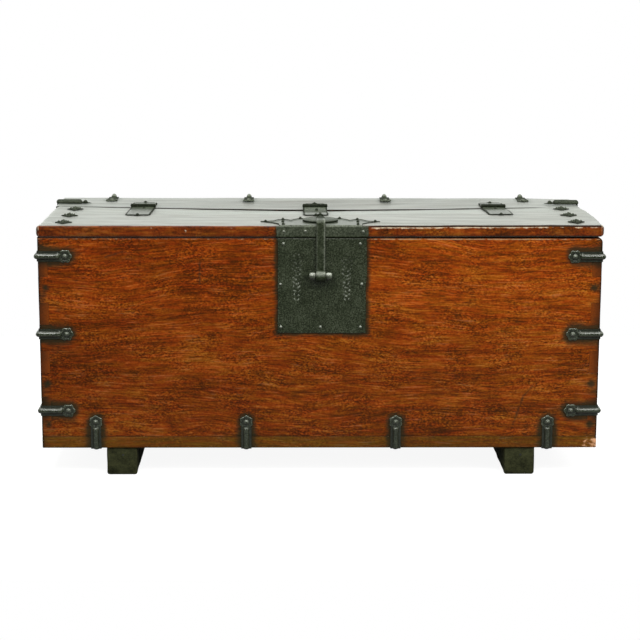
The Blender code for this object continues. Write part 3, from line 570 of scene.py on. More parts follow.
def scratches(points):
    """1 along the scratches of the front board, falling to 0 within a few millimetres."""
    gaps = [line_gap(points, (a, FRONT, b), (c, FRONT, d)) for a, b, c, d in SCRATCHES]
    return bell(np.min(gaps, axis=0), SCRATCH_WIDTH)


def end_shade(x):
    """The dark line down each upright edge of the case: strong at the edge, gone within a few millimetres."""
    return 0.95 * bell(RIGHT - np.abs(x), 3.0 * MM)


def rubbed(x, seed):
    """How much an edge is rubbed pale along X, with a highlight painted on it: a lot on the right half, and
    here and there on the left.
    """
    share = eased((x - 0.04) / 0.07) * (1 - 0.30 * eased((x - 0.36) / 0.08))
    flecks = waves(21 * MM, seed, x) + 0.6 * waves(9 * MM, seed + 3, x)
    return np.clip(1.05 * share + (0.30 - 0.16 * share) * flecks - 0.10, 0, 1)


def planed(u, v, seed):
    """How deep planing has left a wall's face at each place: slow waves, shorter upwards than along."""
    return PLANED_DEPTH * (0.6 + 0.4 * waves(PLANED_LENGTH, seed, u, 2.2 * v))


def long_wall(name, face_y, outwards, seed, materials, step):
    """Front or back board: a flat board whose ends are notched for the side boards' fingers.

    The outer face is a plane with planing waves, rounded over at the top and at both ends.
    """
    inner_x = RIGHT - WALL_THICK - NOTCH_GAP
    notch = [z for low, high in FINGERS for z in (low - NOTCH_GAP, high + NOTCH_GAP)]
    near_ends = [*(LEFT + END_SHADE_LINES), *(RIGHT - END_SHADE_LINES)]
    u = edge_lines(LEFT, RIGHT, step, ARRIS, [-inner_x, inner_x, *near_ends])
    v = edge_lines(WALL_FOOT, WALL_TOP, step, WALL_TOP_ROUND, [*notch, WALL_TOP - 4 * MM])
    keep = ~((np.abs(middles(u)) > inner_x)[:, None] & in_finger(middles(v), NOTCH_GAP)[None, :])
    x, z = np.meshgrid(u, v, indexing="ij")
    soft = np.clip(1 + 0.5 * waves(0.07, seed + 1, x), 0.3, 1.6)
    top_drop = rounded_drop(WALL_TOP - z, WALL_TOP_ROUND) * soft
    drop = np.maximum(rounded_drop(RIGHT - np.abs(x), ARRIS), top_drop)
    turn = np.array([[1, 0, 0], [0, 0, outwards], [0, 1, 0]], float)
    skin, outer = slab(u, v, drop + planed(x, z, seed), WALL_THICK, (0, face_y, 0), turn, keep)
    points = skin.points
    x, y, z = points.T
    below = WALL_TOP - z
    z -= rounded_drop(RIGHT - x, WALL_CORNER_ROUND) * eased(1 - below / (25 * MM)) * (outwards < 0)
    on_face = np.abs(y - face_y) < 5 * MM
    # The pale line just below the top edge is rubbing with a painted highlight; the gap mark is painted shade
    # under the lid, along the foot and down the upright ends
    marks = {
        "grime": np.clip(stain(points) + 0.8 * peg_marks(points, face_y) + 0.6 * scratches(points), 0, 1),
        "rub": bell(below - 2.6 * MM, 1.3 * MM) * on_face * np.maximum(rubbed(x, seed + 2), 0.6),
        "gap": np.maximum.reduce([bell(below, 1.4 * MM), 0.55 * bell(z - WALL_FOOT, 1.2 * MM), end_shade(x)]),
    }
    finish(name, skin, materials, "case", outer, marks)


def side_wall(name, side, seed, materials):
    """A side board: a plane with planing waves, whose end fingers fill the long boards' notches."""
    half = (BACK - FRONT) / 2
    inner_y = half - WALL_THICK - NOTCH_GAP
    u = edge_lines(-half, half, BOARD_STEP, ARRIS, [-inner_y, inner_y])
    v = edge_lines(WALL_FOOT, WALL_TOP, BOARD_STEP, WALL_TOP_ROUND, [*FINGERS.ravel(), WALL_TOP - 6 * MM])
    keep = (np.abs(middles(u)) < inner_y)[:, None] | in_finger(middles(v), 0)[None, :]
    across, up = np.meshgrid(u, v, indexing="ij")
    top_round = WALL_CORNER_ROUND if side > 0 else WALL_TOP_ROUND
    drop = np.maximum(rounded_drop(half - np.abs(across), ARRIS), rounded_drop(WALL_TOP - up, top_round))
    turn = np.array([[0, 0, side], [side, 0, 0], [0, 1, 0]], float)
    place = (side * RIGHT, CENTRE_Y, 0)
    skin, outer = slab(u, v, drop + planed(across, up, seed), WALL_THICK, place, turn, keep)
    x, y, z = skin.points.T
    at_end = np.abs(y - CENTRE_Y) > half - 1 * MM
    # The gap mark is painted shade at the top under the lid and down the upright edges
    marks = {
        "grime": np.where(at_end, 0.8 * stain(skin.points), stain_on_end(skin.points)),
        "rub": 0 * x,
        "gap": np.maximum(bell(WALL_TOP - z, 1.4 * MM), 0.8 * end_shade(x)),
    }
    finish(name, skin, materials, "case", outer, marks)


def sag(x, y, depth):
    """How far an old top board has sunk along the seam: most in the middle, not at the ends or well away."""
    along = np.clip(np.abs(x) / RIGHT, 0, 1)
    return depth * (1 - along**1.3) * eased(1 - np.abs(y - SEAM) / SAG_REACH)


def lid_spring(x, y):
    """How far the lid stands up off the case: not on its left or at its hinges, most at its right front."""
    return LID_SPRING * eased((x + 0.1) / 0.55) * eased((SEAM - y) / 0.08)


def lid_end_swell(x, y):
    """How uneven the lid's ends are: the right one swells, with a round rear corner, and the left is worn."""
    weight = eased((np.abs(x) - 0.40) / (lid_high[0] - 0.40))
    swell = LID_END_SWELL * eased((y + 0.165) / 0.06) * (1 - 0.7 * eased((y + 0.09) / 0.14))
    corner = np.clip((y - lid_high[1]) / (28 * MM) + 1, 0, 1)
    corner = LID_END_CORNER * (1 - np.sqrt(1 - 0.98 * corner**2))
    worn = LID_END_WORN * eased((y + 0.185) / 0.03) + 0.4 * corner
    return weight * np.where(x > 0, swell - corner, worn)


def top_board(name, low, high, radii, end_radius, body, seed, materials):
    """The lid or the rear top board: a rounded plank, planed in waves on top and sunk along the seam.

    The lid's upper front edge is chipped and rubbed, with a painted highlight along it and a line of painted
    shade on the round over it. Near its ends a pale line is rubbed and painted as a highlight. Its lower
    edge, its ends and both boards' faces at the seam are dark with painted shade.
    """
    skin = plank(low, high, radii, end_radius, BOARD_STEP)
    points = skin.points
    x, y, z = points.T
    on_lid = body == "lid"
    front_round = radii[1]
    turn = np.degrees(np.arctan2(z - high[2] + front_round, low[1] + front_round - y))
    at_arris = (y < low[1] + front_round) & (z > high[2] - front_round - 0.1 * MM)
    # Painted shade on the rounded arris, over the pale line where it meets the front
    dark_arris = at_arris * (turn > 10) * (turn < 80) * (0.2 + 0.7 * eased((x - 0.04) / 0.07))
    under_edge = bell(z - low[2], 2.6 * MM) * (y < low[1] + 4 * MM)
    inset = high[0] - np.abs(x)
    end_line = bell(inset - 4.8 * MM, 1.6 * MM) * (y < low[1] + 9 * MM)
    facing_seam = np.abs(y - SEAM) < 2.6 * MM
    grime = 0.8 * near_straps(points, 9 * MM) + 0.15 * stain(points)
    grime += 0.8 * on_lid * near_box(points, *PLATE_STAIN, 6 * MM)
    # Pale marks: the arris's line and the line near the ends are rubbing with a painted highlight; the chip
    # is real
    rub = 0.9 * (at_arris & (turn < 10)) * rubbed(x, seed + 2) + 0.6 * end_line
    rub += 0.8 * near_point(points, LID_CHIP, 4 * MM)
    # Painted shade on the lid's arris, along its lower edge and ends, and on both boards' faces at the seam
    gap = on_lid * (dark_arris + 0.95 * under_edge + 0.95 * bell(inset, 2.2 * MM)) + 0.95 * facing_seam
    marks = {"grime": np.clip(grime, 0, 1), "rub": on_lid * np.clip(rub, 0, 1), "gap": np.clip(gap, 0, 1)}
    sink = sag(x, y, LID_SAG if on_lid else REAR_SAG) + PLANED_DEPTH * (1 + waves(0.1, seed, x, 2 * y))
    sink += 0 if on_lid else REAR_DROOP * eased((x - 0.40) / 0.08)
    chips = 2 * np.clip(waves(0.026, seed + 4, x) - 0.6, 0, 1)
    z -= np.where(z > (low[2] + high[2]) / 2, sink, 0)
    if on_lid:
        y += np.where(at_arris, 0.7 * MM * chips, 0)
        z += lid_spring(x, y)
        x += lid_end_swell(x, y)
    finish(name, skin, materials, body, None, marks)


def bottom_plank(materials):
    """The bottom board: a rounded plank, its right front corner crumbled by worm."""
    low, high = box_of("bottom_board")
    skin = plank(low, high, BOTTOM_ROUNDS, BOTTOM_END_ROUND, BOARD_STEP)
    points = skin.points
    x, y, z = points.T
    corner = near_box(points, *CRUMBLED, 6 * MM) * (x < RIGHT - 0.1 * MM)
    y += corner * CRUMBLED_DEPTH * np.clip(waves(8 * MM, 77, x, z), 0, 1)
    top_line = bell(high[2] - z, 1.0 * MM) * (y < FRONT + 2 * MM)
    crumbled = corner * (0.50 + 0.22 * eased((x - RIGHT + 14 * MM) / (12 * MM)))
    # The pale mark is the worm-crumbled corner and a painted highlight along the top edge; the gap mark is
    # painted shade along the lower edge and the ends
    marks = {
        "grime": np.clip(0.8 * stain(points) + 0.08, 0, 1) * (1 - corner),
        "rub": np.maximum(crumbled, 0.36 * top_line),
        "gap": np.clip(0.7 * bell(z - UNDER, 1.6 * MM) + end_shade(x), 0, 0.9),
    }
    finish("bottom_board", skin, materials, "case", None, marks)


def foot(name, seed, materials, iron):
    """A runner foot: a rounded plank laid front to back, its lower edges worn round, with a nail in front."""
    low, high = box_of(name)
    middle, half = (low + high) / 2, (high - low) / 2
    start, end = np.array([-half[1], -half[0], low[2]]), np.array([half[1], half[0], high[2]])
    skin = plank(start, end, FOOT_ROUNDS, FOOT_END_ROUND, FOOT_STEP)
    x, y, z = skin.points.T
    y += 0.5 * MM * (waves(0.06, seed, x, z) - np.sign(y))
    finish(name, skin.placed((*middle[:2], 0), QUARTER_TURN), materials)
    profile = [(FOOT_NAIL_RADIUS, -1.0 * MM), (FOOT_NAIL_RADIUS, 0.15 * MM), (0.3 * MM, 0.2 * MM)]
    nail_place = (middle[0] + 2 * MM, low[1], UNDER - FOOT_NAIL_DROP)
    nail = turned(profile, 12, -1.0).placed(nail_place, TO_FRONT)
    finish(f"{name}_nail", nail, [iron], for_node=False)


def both_legs(first, second):
    """Values along two legs, each from the edge outwards, as one column along the strap, bend included."""
    bend = first[0] + (second[0] - first[0]) * np.linspace(0, 1, BEND_STEPS + 2)[1:-1]
    return np.concatenate([first[::-1], bend, second])[:, None]


def strap_bar(distance, half_width, half_round, flange, rise, second_rise):
    """A strap's bar: at each place, a half-round of its own width and height on a thin flat flange.

    Its path runs along one leg, round the wood's edge and along the other leg, a seat's width off the wood.
    """
    bow = np.linspace(0, np.pi / 2, BEND_STEPS + 2)[1:-1]
    zero, one = np.zeros_like(distance), np.ones_like(distance)
    out = np.concatenate([np.stack([zero, one, zero], -1), np.stack([np.sin(bow), np.cos(bow), 0 * bow], -1),
                          np.stack([one, zero, zero], -1)])
    away = np.concatenate([np.stack([-distance[::-1], zero, zero], -1), np.zeros((BEND_STEPS, 3)),
                           np.stack([zero, -distance, zero], -1)])
    rise = both_legs(rise, second_rise)
    half_width, half_round, flange = (both_legs(a, a) for a in (half_width, half_round, flange))
    across = np.sin(np.linspace(-np.pi / 2, np.pi / 2, 21)) * half_width
    up = np.maximum(flange, rise * bulge(across / np.maximum(half_round, 1e-6)))
    across = np.concatenate([across, half_width, -half_width], axis=1)
    up = np.concatenate([up, np.zeros((len(up), 2))], axis=1)
    path = (away + out * SEAT)[:, None]
    rows = path + out[:, None] * up[..., None] + across[..., None] * np.array([0, 0, 1])
    worn = np.clip((up / STRAP_RISE - 1.0) * 1.5, -0.6, -0.15)
    return rings(rows, np.where(up < 1.3 * MM, -0.75, worn))


def rosette():
    """A strap's head: a disc of six petals, whose rim follows the cosine of six times the angle.

    It is rounded over, and grooved between the petals.
    """
    angle = around(60)
    share = np.array([1.0, 1.0, 0.985, 0.93, 0.84, 0.74, 0.64, 0.56, 0.48, 0.2])[:, None]
    height = np.array([0.0, 0.9, 1.5, 2.0, 2.25, 2.0, 1.5, 1.3, 1.4, 1.5])[:, None] * MM
    wear = np.array([-0.8, -0.3, 0.15, 0.2, 0.0, -0.3, -0.75, -0.85, -0.7, -0.4])[:, None]
    petal = np.cos(STRAP_PETALS * angle)
    groove = 0.6 * MM * bell(petal + 1, 0.25) * (share > 0.6) * (height > 0)
    reach = share * STRAP_HEAD_RADIUS * np.where(share > 0.6, 0.925 + 0.075 * petal, 1)
    return rings(np.stack([reach * np.cos(angle), height - groove, reach * np.sin(angle)], -1), wear)


def strap_skin(under=False, over=False):
    """A strap with a half-round bar, and at the end of each leg a petalled head with a domed nail.

    A strap whose second leg lies under the case has that leg hammered flatter. One over the top is high at
    its bend and flat in front of it, and a highlight is painted on its high bend.
    """
    distance = np.concatenate([[0.0, 1.2], np.linspace(4, 34, 7), np.linspace(35, 40, 9), [42, 44]]) * MM
    taper = bulge(np.clip((distance - STRAP_RIB_END) / STRAP_RIB_TAPER + 1, 0, 1))
    swell = 1 + 0.07 * bell(distance - 36 * MM, 2 * MM)
    rise = STRAP_RISE * taper * np.where(distance < 1 * MM, 0.3 if under else 1.0, swell)
    first_rise = rise * (1.2 - 0.9 * eased((distance - 5 * MM) / (12 * MM))) if over else rise
    bar = strap_bar(
        distance,
        STRAP_HALF_WIDTH - 2.0 * MM * (distance > 41 * MM),
        STRAP_ROUND_HALF * np.maximum(taper, 0.02) * swell,
        np.full_like(distance, STRAP_FLANGE),
        first_rise,
        np.minimum(rise, STRAP_UNDER_RISE) if under else rise,
    )
    # Painted highlight on the high bend of a strap over the top
    bar.wear = np.where(over & (bar.points[:, 1] > 4.5 * MM), 0.6, bar.wear)
    heads = []
    for nail_rise in (STRAP_NAIL_RISE, STRAP_UNDER_NAIL_RISE if under else STRAP_NAIL_RISE):
        # The nail heads' slight wear is partly a painted glint
        nail = dome(STRAP_NAIL_RADIUS, nail_rise, 0.15, 20).placed((0, STRAP_NAIL_FOOT, 0), TO_BACK)
        heads.append(joined([rosette(), nail]).placed((-STRAP_HEAD_PLACE, SEAT, 0)))
    skin = joined([bar, heads[0], heads[1].placed(turn=SWAP_LEGS)])
    skin.points = hammered(skin.points, 31, 0.03 * MM)
    return skin


def spear_skin():
    """A strap whose bar ends in a neck, a bulb and a point: its half width is the widest of those outlines.

    Places along it and the outlines' sizes are in millimetres.
    """
    d = np.concatenate([np.linspace(0, 41, 8), np.linspace(42, 63, 40)])
    body = bulge(np.clip(d - 41, 0, 5) / 5)
    neck = np.clip((63.4 - d) / 12, 0, 1) ** 0.6
    bulb = bulge((d - 51.8) / 4.4)
    collar = bulge((d - 47.2) / 1.2)
    half = np.maximum.reduce([7.8 * body, 1.9 * neck, 4.6 * bulb, 3.4 * collar]) * MM
    rise = np.maximum.reduce([SPEAR_RISE / MM * body, 6.532 * bulb, 4.08 * collar, 2.85 * neck]) * MM
    flange, side_rise = np.full_like(d, SPEAR_FLANGE), np.minimum(rise, SPEAR_SIDE_RISE)
    skin = strap_bar(d * MM, half, half, flange, rise, side_rise)
    skin.points = hammered(skin.points, 37, 0.06 * MM)
    skin.wear[:] = -0.6
    return skin


def add_straps(iron, dull_iron):
    """Every strap in its place, turned from its own frame, where the wood's faces look along Y and X.

    Those on the top are of the dull iron.
    """
    plain, spear = strap_skin(), spear_skin()
    flat_under, flat_over = strap_skin(under=True), strap_skin(over=True)
    for name, corner, first, second in STRAPS:
        skin = spear if name.startswith("top_") else flat_under if "_bottom_" in name else plain
        skin = flat_over if "_top_strap_" in name else skin
        turn = np.stack([second, first, np.cross(second, first)], axis=-1)
        finish(name, skin.placed(corner, turn), [dull_iron if "top_" in name else iron])


def leaf_plate(start, length, width):
    """A hinge leaf's plate: points across it at each place along it, out to its half width there.

    Its far corners are cut, and it ends in a round tab.
    """
    tab, cut = 6 * MM, 5 * MM
    shoulder = length - tab
    along = np.concatenate([
        np.linspace(start, shoulder - cut, 26),
        shoulder - np.linspace(4, 0.02, 5) * MM,
        shoulder + tab * np.sin(np.linspace(0.0, np.pi / 2 - 0.05, 9)),
    ])[:, None]
    half = width / 2 - np.maximum(along - shoulder + cut, 0)
    half = np.where(along >= shoulder, np.sqrt(np.clip(tab**2 - (along - shoulder) ** 2, 0, None)), half)
    share = np.concatenate([[-1, -1, -0.955, -0.91], np.linspace(-0.85, 0.85, 15), [0.91, 0.955, 1, 1]])
    height = np.array([0.0, 0.45, 0.85, *[1.0] * 17, 0.85, 0.45, 0.0]) * LEAF
    across = share * half
    # Edges and tab darkened: painted shade along the edges, with dirt
    dirt_and_shade = (np.abs(share) > 0.87) | (along > shoulder - 4 * MM)
    rows = np.stack([across, along + 0 * across, height + 0 * across], axis=-1)
    return rings(rows, np.where(dirt_and_shade, -1.0, 0.05)).polished(LEAF_POLISH)


def knuckle(low, high, radius):
    """A hinge knuckle along X: a short rod whose ends are eased over."""
    ends = [(0.75, 0.0), (0.9, 0.0), (1.0, 0.35)]
    near = [(radius * share, low + inset * MM) for share, inset in ends]
    far = [(radius * share, high - inset * MM) for share, inset in ends[::-1]]
    return turned(near + far, 28, -0.95).placed(turn=ALONG_X)


def hinge_leaf(name, iron):
    """A hinge leaf: its plate, its knuckles about the hinge's axis, their roots and its nails.

    The plate follows the sunk boards.
    """
    low, high = box_of(name)
    front = name.endswith("front_leaf")
    middle_x, toward = (low[0] + high[0]) / 2, -1 if front else 1
    radius, width = high[2] - HINGE_AXIS[2], high[0] - low[0]
    length = abs((low[1] if front else high[1]) - HINGE_AXIS[1])
    inner, outer = HINGE_INNER_KNUCKLE, HINGE_INNER_KNUCKLE + RUNNING
    spans = [(-inner, inner)] if front else [(-width / 2, -outer), (outer, width / 2)]
    nails = [(0, length - 7 * MM, LEAF), (-3 * MM, 16 * MM, LEAF)][: 2 if front else 1]
    parts = [leaf_plate(radius + 0.8 * MM, length, width)]
    parts += [dome(*LEAF_NAIL).placed(place) for place in nails]
    for start, end in spans:
        root = np.array([start, 0.0, 0.0]), np.array([end, radius + 2 * MM, LEAF * 0.96])
        parts.append(plank(*root, [0.3 * MM] * 4, 0.3 * MM, 3 * MM))
    skin = joined(parts).placed((middle_x, HINGE_AXIS[1], TOP + SEAT), np.diag([toward, toward, 1.0]))
    x, y, z = skin.points.T
    most = 2.4 * MM + 0.35 * np.maximum(np.abs(y - HINGE_AXIS[1]) - 5 * MM, 0)
    z -= np.minimum(sag(x, y, LID_SAG if front else REAR_SAG), most)
    z += lid_spring(x, y) if front else 0
    rods = [knuckle(start, end, radius).placed((middle_x, *HINGE_AXIS[1:])) for start, end in spans]
    finish(name, joined([skin, *rods]), [iron], "lid" if front else "case")


def sprig_marks(x, z):
    """Depth of the two punched sprigs: pairs of slanting leaf cuts up a stem, and a ring of dots over them.

    Each leaf cut is deepest on its own short line and fades within a millimetre or so.
    """
    places = np.stack([x.ravel(), z.ravel()], axis=-1)
    cuts, dots = [], []
    for middle in SPRIG_X:
        for i, height in enumerate(np.linspace(SPRIG_LOW, SPRIG_HIGH + 16 * MM, SPRIG_LEAVES)):
            reach = (3.2 + 4.6 * i / (SPRIG_LEAVES - 1)) * MM
            for side in (-1, 1):
                start = np.array([middle + side * 1.2 * MM, height])
                cuts.append(line_gap(places, start, start + [side * reach, -0.75 * reach]))
        for turn in around(SPRIG_DOTS):
            dot = SPRIG_RING * np.array([np.cos(turn), np.sin(turn)]) + [middle, SPRIG_HIGH + 4 * MM]
            dots.append(np.linalg.norm(places - dot, axis=1))
    depth = np.maximum(bell(np.min(cuts, axis=0), 0.75 * MM), bell(np.min(dots, axis=0), 1.1 * MM))
    return depth.reshape(x.shape)


def lock_plate(iron):
    """The lock plate: a thin slab with eased edges, hammer waves, two punched sprigs and its nails.

    Its left side is drawn in and all its edges waver. The sprigs' rims are rubbed bright, most of all below.
    """
    low, high = lock_low, lock_high
    u = edge_lines(low[0], high[0], 1.25 * MM, 0.6 * MM)
    v = edge_lines(low[2], high[2], 1.25 * MM, 0.6 * MM)
    across, up = np.meshgrid(u, v, indexing="ij")
    edge = np.minimum.reduce([across - low[0], high[0] - across, up - low[2], high[2] - up])
    drop = rounded_drop(edge, 0.6 * MM) + 0.10 * MM * (1 + waves(16 * MM, 61, across, up))
    drop += SPRIG_DEPTH * sprig_marks(across, WALL_TOP - up)
    plate, _ = slab(u, v, drop, PLATE, (0, low[1], 0), TO_FRONT)
    x, _, z = plate.points.T
    cut = sprig_marks(x, WALL_TOP - z)
    broken = np.clip(0.3 + 1.3 * waves(6 * MM, 67, x, z), 0, 1)
    lower = eased((WALL_TOP - z - 45 * MM) / (45 * MM))
    rims = bell(cut - 0.5, 0.35) * (cut > 0.08) * broken
    plate.wear = (0.5 + 1.4 * lower) * rims + 0.3 * bell(high[2] - z, 1.0 * MM)
    left = eased((-LOCK_PLATE_BENT - x) / LOCK_PLATE_BEND)
    x += left * (LOCK_PLATE_INSET + 0.7 * MM * waves(0.07, 63, z))
    x += eased((x - LOCK_PLATE_BENT) / LOCK_PLATE_BEND) * 0.9 * MM * waves(0.08, 64, z)
    z += eased((low[2] + 0.02 - z) / 0.02) * 0.8 * MM * waves(0.06, 65, x)
    nail = dome(*PLATE_NAIL).placed(turn=TO_FRONT)
    nails = [nail.placed((a * MM, low[1] + 0.1 * MM, WALL_TOP - b * MM)) for a, b in LOCK_NAILS]
    finish("lock_plate", joined([plate, *nails]), [iron])


def wing_reach(x):
    """How far back the lid plate's wings reach at a place across: scallops through their named points."""
    fine = np.linspace(0, WING_STOPS[-1], 400)
    kernel = np.hanning(15)
    smooth = np.pad(np.interp(fine, WING_STOPS, WING_DEPTHS), 7, mode="edge")
    smooth = np.convolve(smooth, kernel / kernel.sum(), mode="valid")
    return np.interp(np.abs(x) / MM, fine, smooth) * MM


def wing_front(x):
    """Where the wings begin: at the lid's edge behind the flange, then along a hollow curve to each tip."""
    out = np.clip((np.abs(x) - WING_ROOT) / WING_TIP, 0, 1)
    return np.where(np.abs(x) > WING_ROOT, 17 * MM + WING_TIP * out**0.75, 0.0)


def lid_plate(iron):
    """The lid's lock plate: scalloped wings on the lid, a flange down its front edge, and nails.

    The wings' height is a low rim round their outline and a ridge within it. They fall over the lid's front
    edge.
    """
    low, high = box_of("lid_lock_plate")
    x = high[0] * np.sin(np.linspace(-np.pi / 2, np.pi / 2, 181) * 0.995)[:, None]
    near, far = wing_front(x), wing_reach(x)
    edge = np.array([0.0, 0.0, 0.7, 1.6, 3.0, 4.2]) * MM
    rim = np.array([0.0, 0.9, 1.5, 1.65, 1.5, 1.1]) * MM
    small = np.clip((far - near) / (14 * MM), 0.02, 1)
    middle = np.linspace(0, 1, 42)[1:-1]
    first, last = near + edge * small, far - edge[::-1] * small
    depth = np.concatenate([first, first[:, -1:] + (last[:, :1] - first[:, -1:]) * middle, last], axis=1)
    height = np.concatenate([rim, np.full(len(middle), 1.1 * MM), rim[::-1]])
    ridge = bell(far - depth - WING_RIDGE_INSET, 2.6 * MM) * (depth - near > 8 * MM)
    fold = rounded_drop(depth - 0.5 * MM, FLANGE_BEND) * (np.abs(x) < WING_ROOT)
    z = TOP + SEAT + height + WING_RIDGE_RISE * ridge - fold
    rows = np.stack([x + 0 * depth, low[1] + depth + 0.5 * MM, z], axis=-1)
    outline = (far - depth < 9 * MM) | (depth - near < 5 * MM) & (np.abs(x) > WING_ROOT)
    wings = rings(rows, np.clip(0.1 - outline - 0.75 * ridge, -1, 1)).polished(WING_POLISH)

    half = (lock_high[0] - lock_low[0]) / 2
    flange_top = TOP - 0.6 * MM
    u = edge_lines(-half, half, 2.5 * MM, 0.5 * MM)
    v = edge_lines(low[2], flange_top, 1.5 * MM, 1.2 * MM)
    across, up = np.meshgrid(u, v, indexing="ij")
    drop = rounded_drop(flange_top - up, 1.2 * MM) + 0.12 * MM * (1 + waves(17 * MM, 71, across, up))
    flange, _ = slab(u, v, drop, PLATE, (0, low[1], 0), TO_FRONT)
    x, _, z = flange.points.T
    flange.wear = 0.10 - 1.1 * bell(z - low[2], 1.0 * MM)
    x += FLANGE_SHIFT + 0.5 * MM * waves(0.03, 73, z)
    facing, upward = dome(*FLANGE_NAIL).placed(turn=TO_FRONT), dome(*WING_NAIL)
    nails = [facing.placed((a * MM, low[1] + 0.1 * MM, TOP - b * MM)) for a, b in FLANGE_NAILS]
    wing_z = TOP + SEAT + PLATE
    wing_nails = [(side * a, b) for a, b in WING_NAILS for side in (-1, 1)]
    nails += [upward.placed((a * MM, low[1] + PLATE + b * MM, wing_z)) for a, b in wing_nails]
    finish("lid_lock_plate", joined([wings, flange, *nails]), [iron], "lid")


def boss(iron):
    """The round boss under the hasp: a turned disc with a rounded rim and a shallow ring groove."""
    low, high = box_of("hasp_boss")
    radius = np.array([1, 1, 0.985, 0.955, 0.9, 0.86, 0.84, 0.82, 0.6, 0.3, 0.03]) * (high[0] - low[0]) / 2
    height = np.array([0, 0.45, 0.68, 0.82, 0.88, 0.9, 0.8, 0.9, 0.96, 1.0, 1.0]) * (high[2] - low[2])
    wear = np.array([-0.9, -0.8, -0.4, *[-0.25] * 8])[:, None]
    skin = turned(np.stack([radius, height], axis=-1), 72, wear).polished(BOSS_POLISH)
    finish("hasp_boss", skin.placed((0, (low[1] + high[1]) / 2, low[2])), [iron], "lid")


def pivot_staple(iron):
    """The staple that holds the hasp: a circle carried along a path that bends over, its legs in the lid."""
    low, high = box_of("hasp_pivot_staple")
    radius = (high[1] - low[1]) / 2
    leg, corner = high[0] - radius, 2.2 * MM
    bow = np.linspace(0, np.pi / 2, 6)
    right = np.stack([leg - corner + corner * np.sin(bow), 0 * bow, -corner + corner * np.cos(bow)], -1)
    right = np.concatenate([right, [[leg, 0, low[2] - PIVOT_AXIS[2]]]])
    path = np.concatenate([right[::-1] * [-1, 1, 1], right])
    along = np.gradient(path, axis=0)
    along /= np.linalg.norm(along, axis=1, keepdims=True)
    side, back = np.cross(along, [0, 1, 0])[:, None], np.array([0, 1, 0])
    angle = around(14)[:, None]
    skin = rings(path[:, None] + radius * (np.cos(angle) * side + np.sin(angle) * back), -0.8)
    finish("hasp_pivot_staple", skin.placed(PIVOT_AXIS), [iron], "lid")


def lock_eye():
    """Middle of the padlock's way through the staples, and the outer radius of their eyes.

    It lies half way up a staple, and that radius in from its front.
    """
    low, high = box_of("left_lock_staple")
    radius = (high[2] - low[2]) / 2
    return np.array([0, low[1] + radius, low[2] + radius]), radius


def lit_from_above(sides):
    """Wear round a ring about X that paints its light: a painted highlight on its upper front, painted shade
    below.
    """
    return 1.25 * bell(around(sides) - 2.5, 0.80) - 0.35


def hasp(iron):
    """The hasp: a bar with bevelled edges carried along its bent path, with a ring at each end.

    The bar is narrow at its pivot and widens gently. It is dark with dirt there, and its edges are rubbed
    further on, the right one brighter as a painted highlight. Its lock ring is painted bright above, shaded
    below.
    """
    low, high = box_of("hasp")
    eye, _ = lock_eye()
    middle_z = box_of("hasp_boss")[1][2] + RUNNING + HASP_THICK / 2
    middle_y = box_of("lid_lock_plate")[0][1] - RUNNING - HASP_THICK / 2
    forward = np.linspace(PIVOT_AXIS[1] - 2 * MM, middle_y + HASP_BEND, 24)
    down = np.linspace(middle_z - HASP_BEND, eye[2] + 6 * MM, 26)
    bow = np.linspace(0, np.pi / 2, 9)[1:-1]
    corner_y, corner_z = middle_y + HASP_BEND, middle_z - HASP_BEND
    corner = np.stack([corner_y - HASP_BEND * np.sin(bow), corner_z + HASP_BEND * np.cos(bow)], -1)
    top, front = np.stack([forward, 0 * forward + middle_z], -1), np.stack([0 * down + middle_y, down], -1)
    path = np.concatenate([top, corner, front])
    along = np.gradient(path, axis=0)
    along /= np.linalg.norm(along, axis=1, keepdims=True)
    travelled = np.concatenate([[0], np.cumsum(np.linalg.norm(np.diff(path, axis=0), axis=1))])[:, None]
    half = HASP_NECK_HALF + (HASP_HALF - HASP_NECK_HALF) * eased((travelled - 12 * MM) / (9 * MM))
    share = np.array([-1, -1, -0.84, -0.4, 0, 0.4, 0.84, 1, 1, 0.84, -0.84])
    rise = np.array([-0.35, 0.2, 0.5, 0.5, 0.5, 0.5, 0.5, 0.2, -0.35, -0.5, -0.5]) * HASP_THICK
    y, z = path[:, :1] + along[:, 1:] * rise, path[:, 1:] - along[:, :1] * rise
    rows = np.stack([half * share, y, z], axis=-1)
    # Rubbed bevels, the right one brighter as a painted highlight
    wear = np.where((np.abs(share) > 0.7) & (rise > 0), 0.30 + 0.12 * np.sign(share), -0.25)
    clean = eased((travelled - 34 * MM) / (12 * MM))
    bar = rings(rows, wear * clean - 0.9 * (1 - clean))
    bar = bar.polished(np.broadcast_to(BOSS_POLISH * clean, rows.shape[:2]))
    pivot_ring = barrel(2.25 * MM, 2.2 * MM, high[2] - PIVOT_AXIS[2], 0.6 * MM, np.full(28, -0.8))
    lock_ring = barrel(high[0], LOCK_BORE, eye[1] - low[1], 1.9 * MM, lit_from_above(32) - 0.3)
    finish("hasp", joined([bar, pivot_ring.placed(PIVOT_AXIS), lock_ring.placed(eye)]), [iron], "hasp")


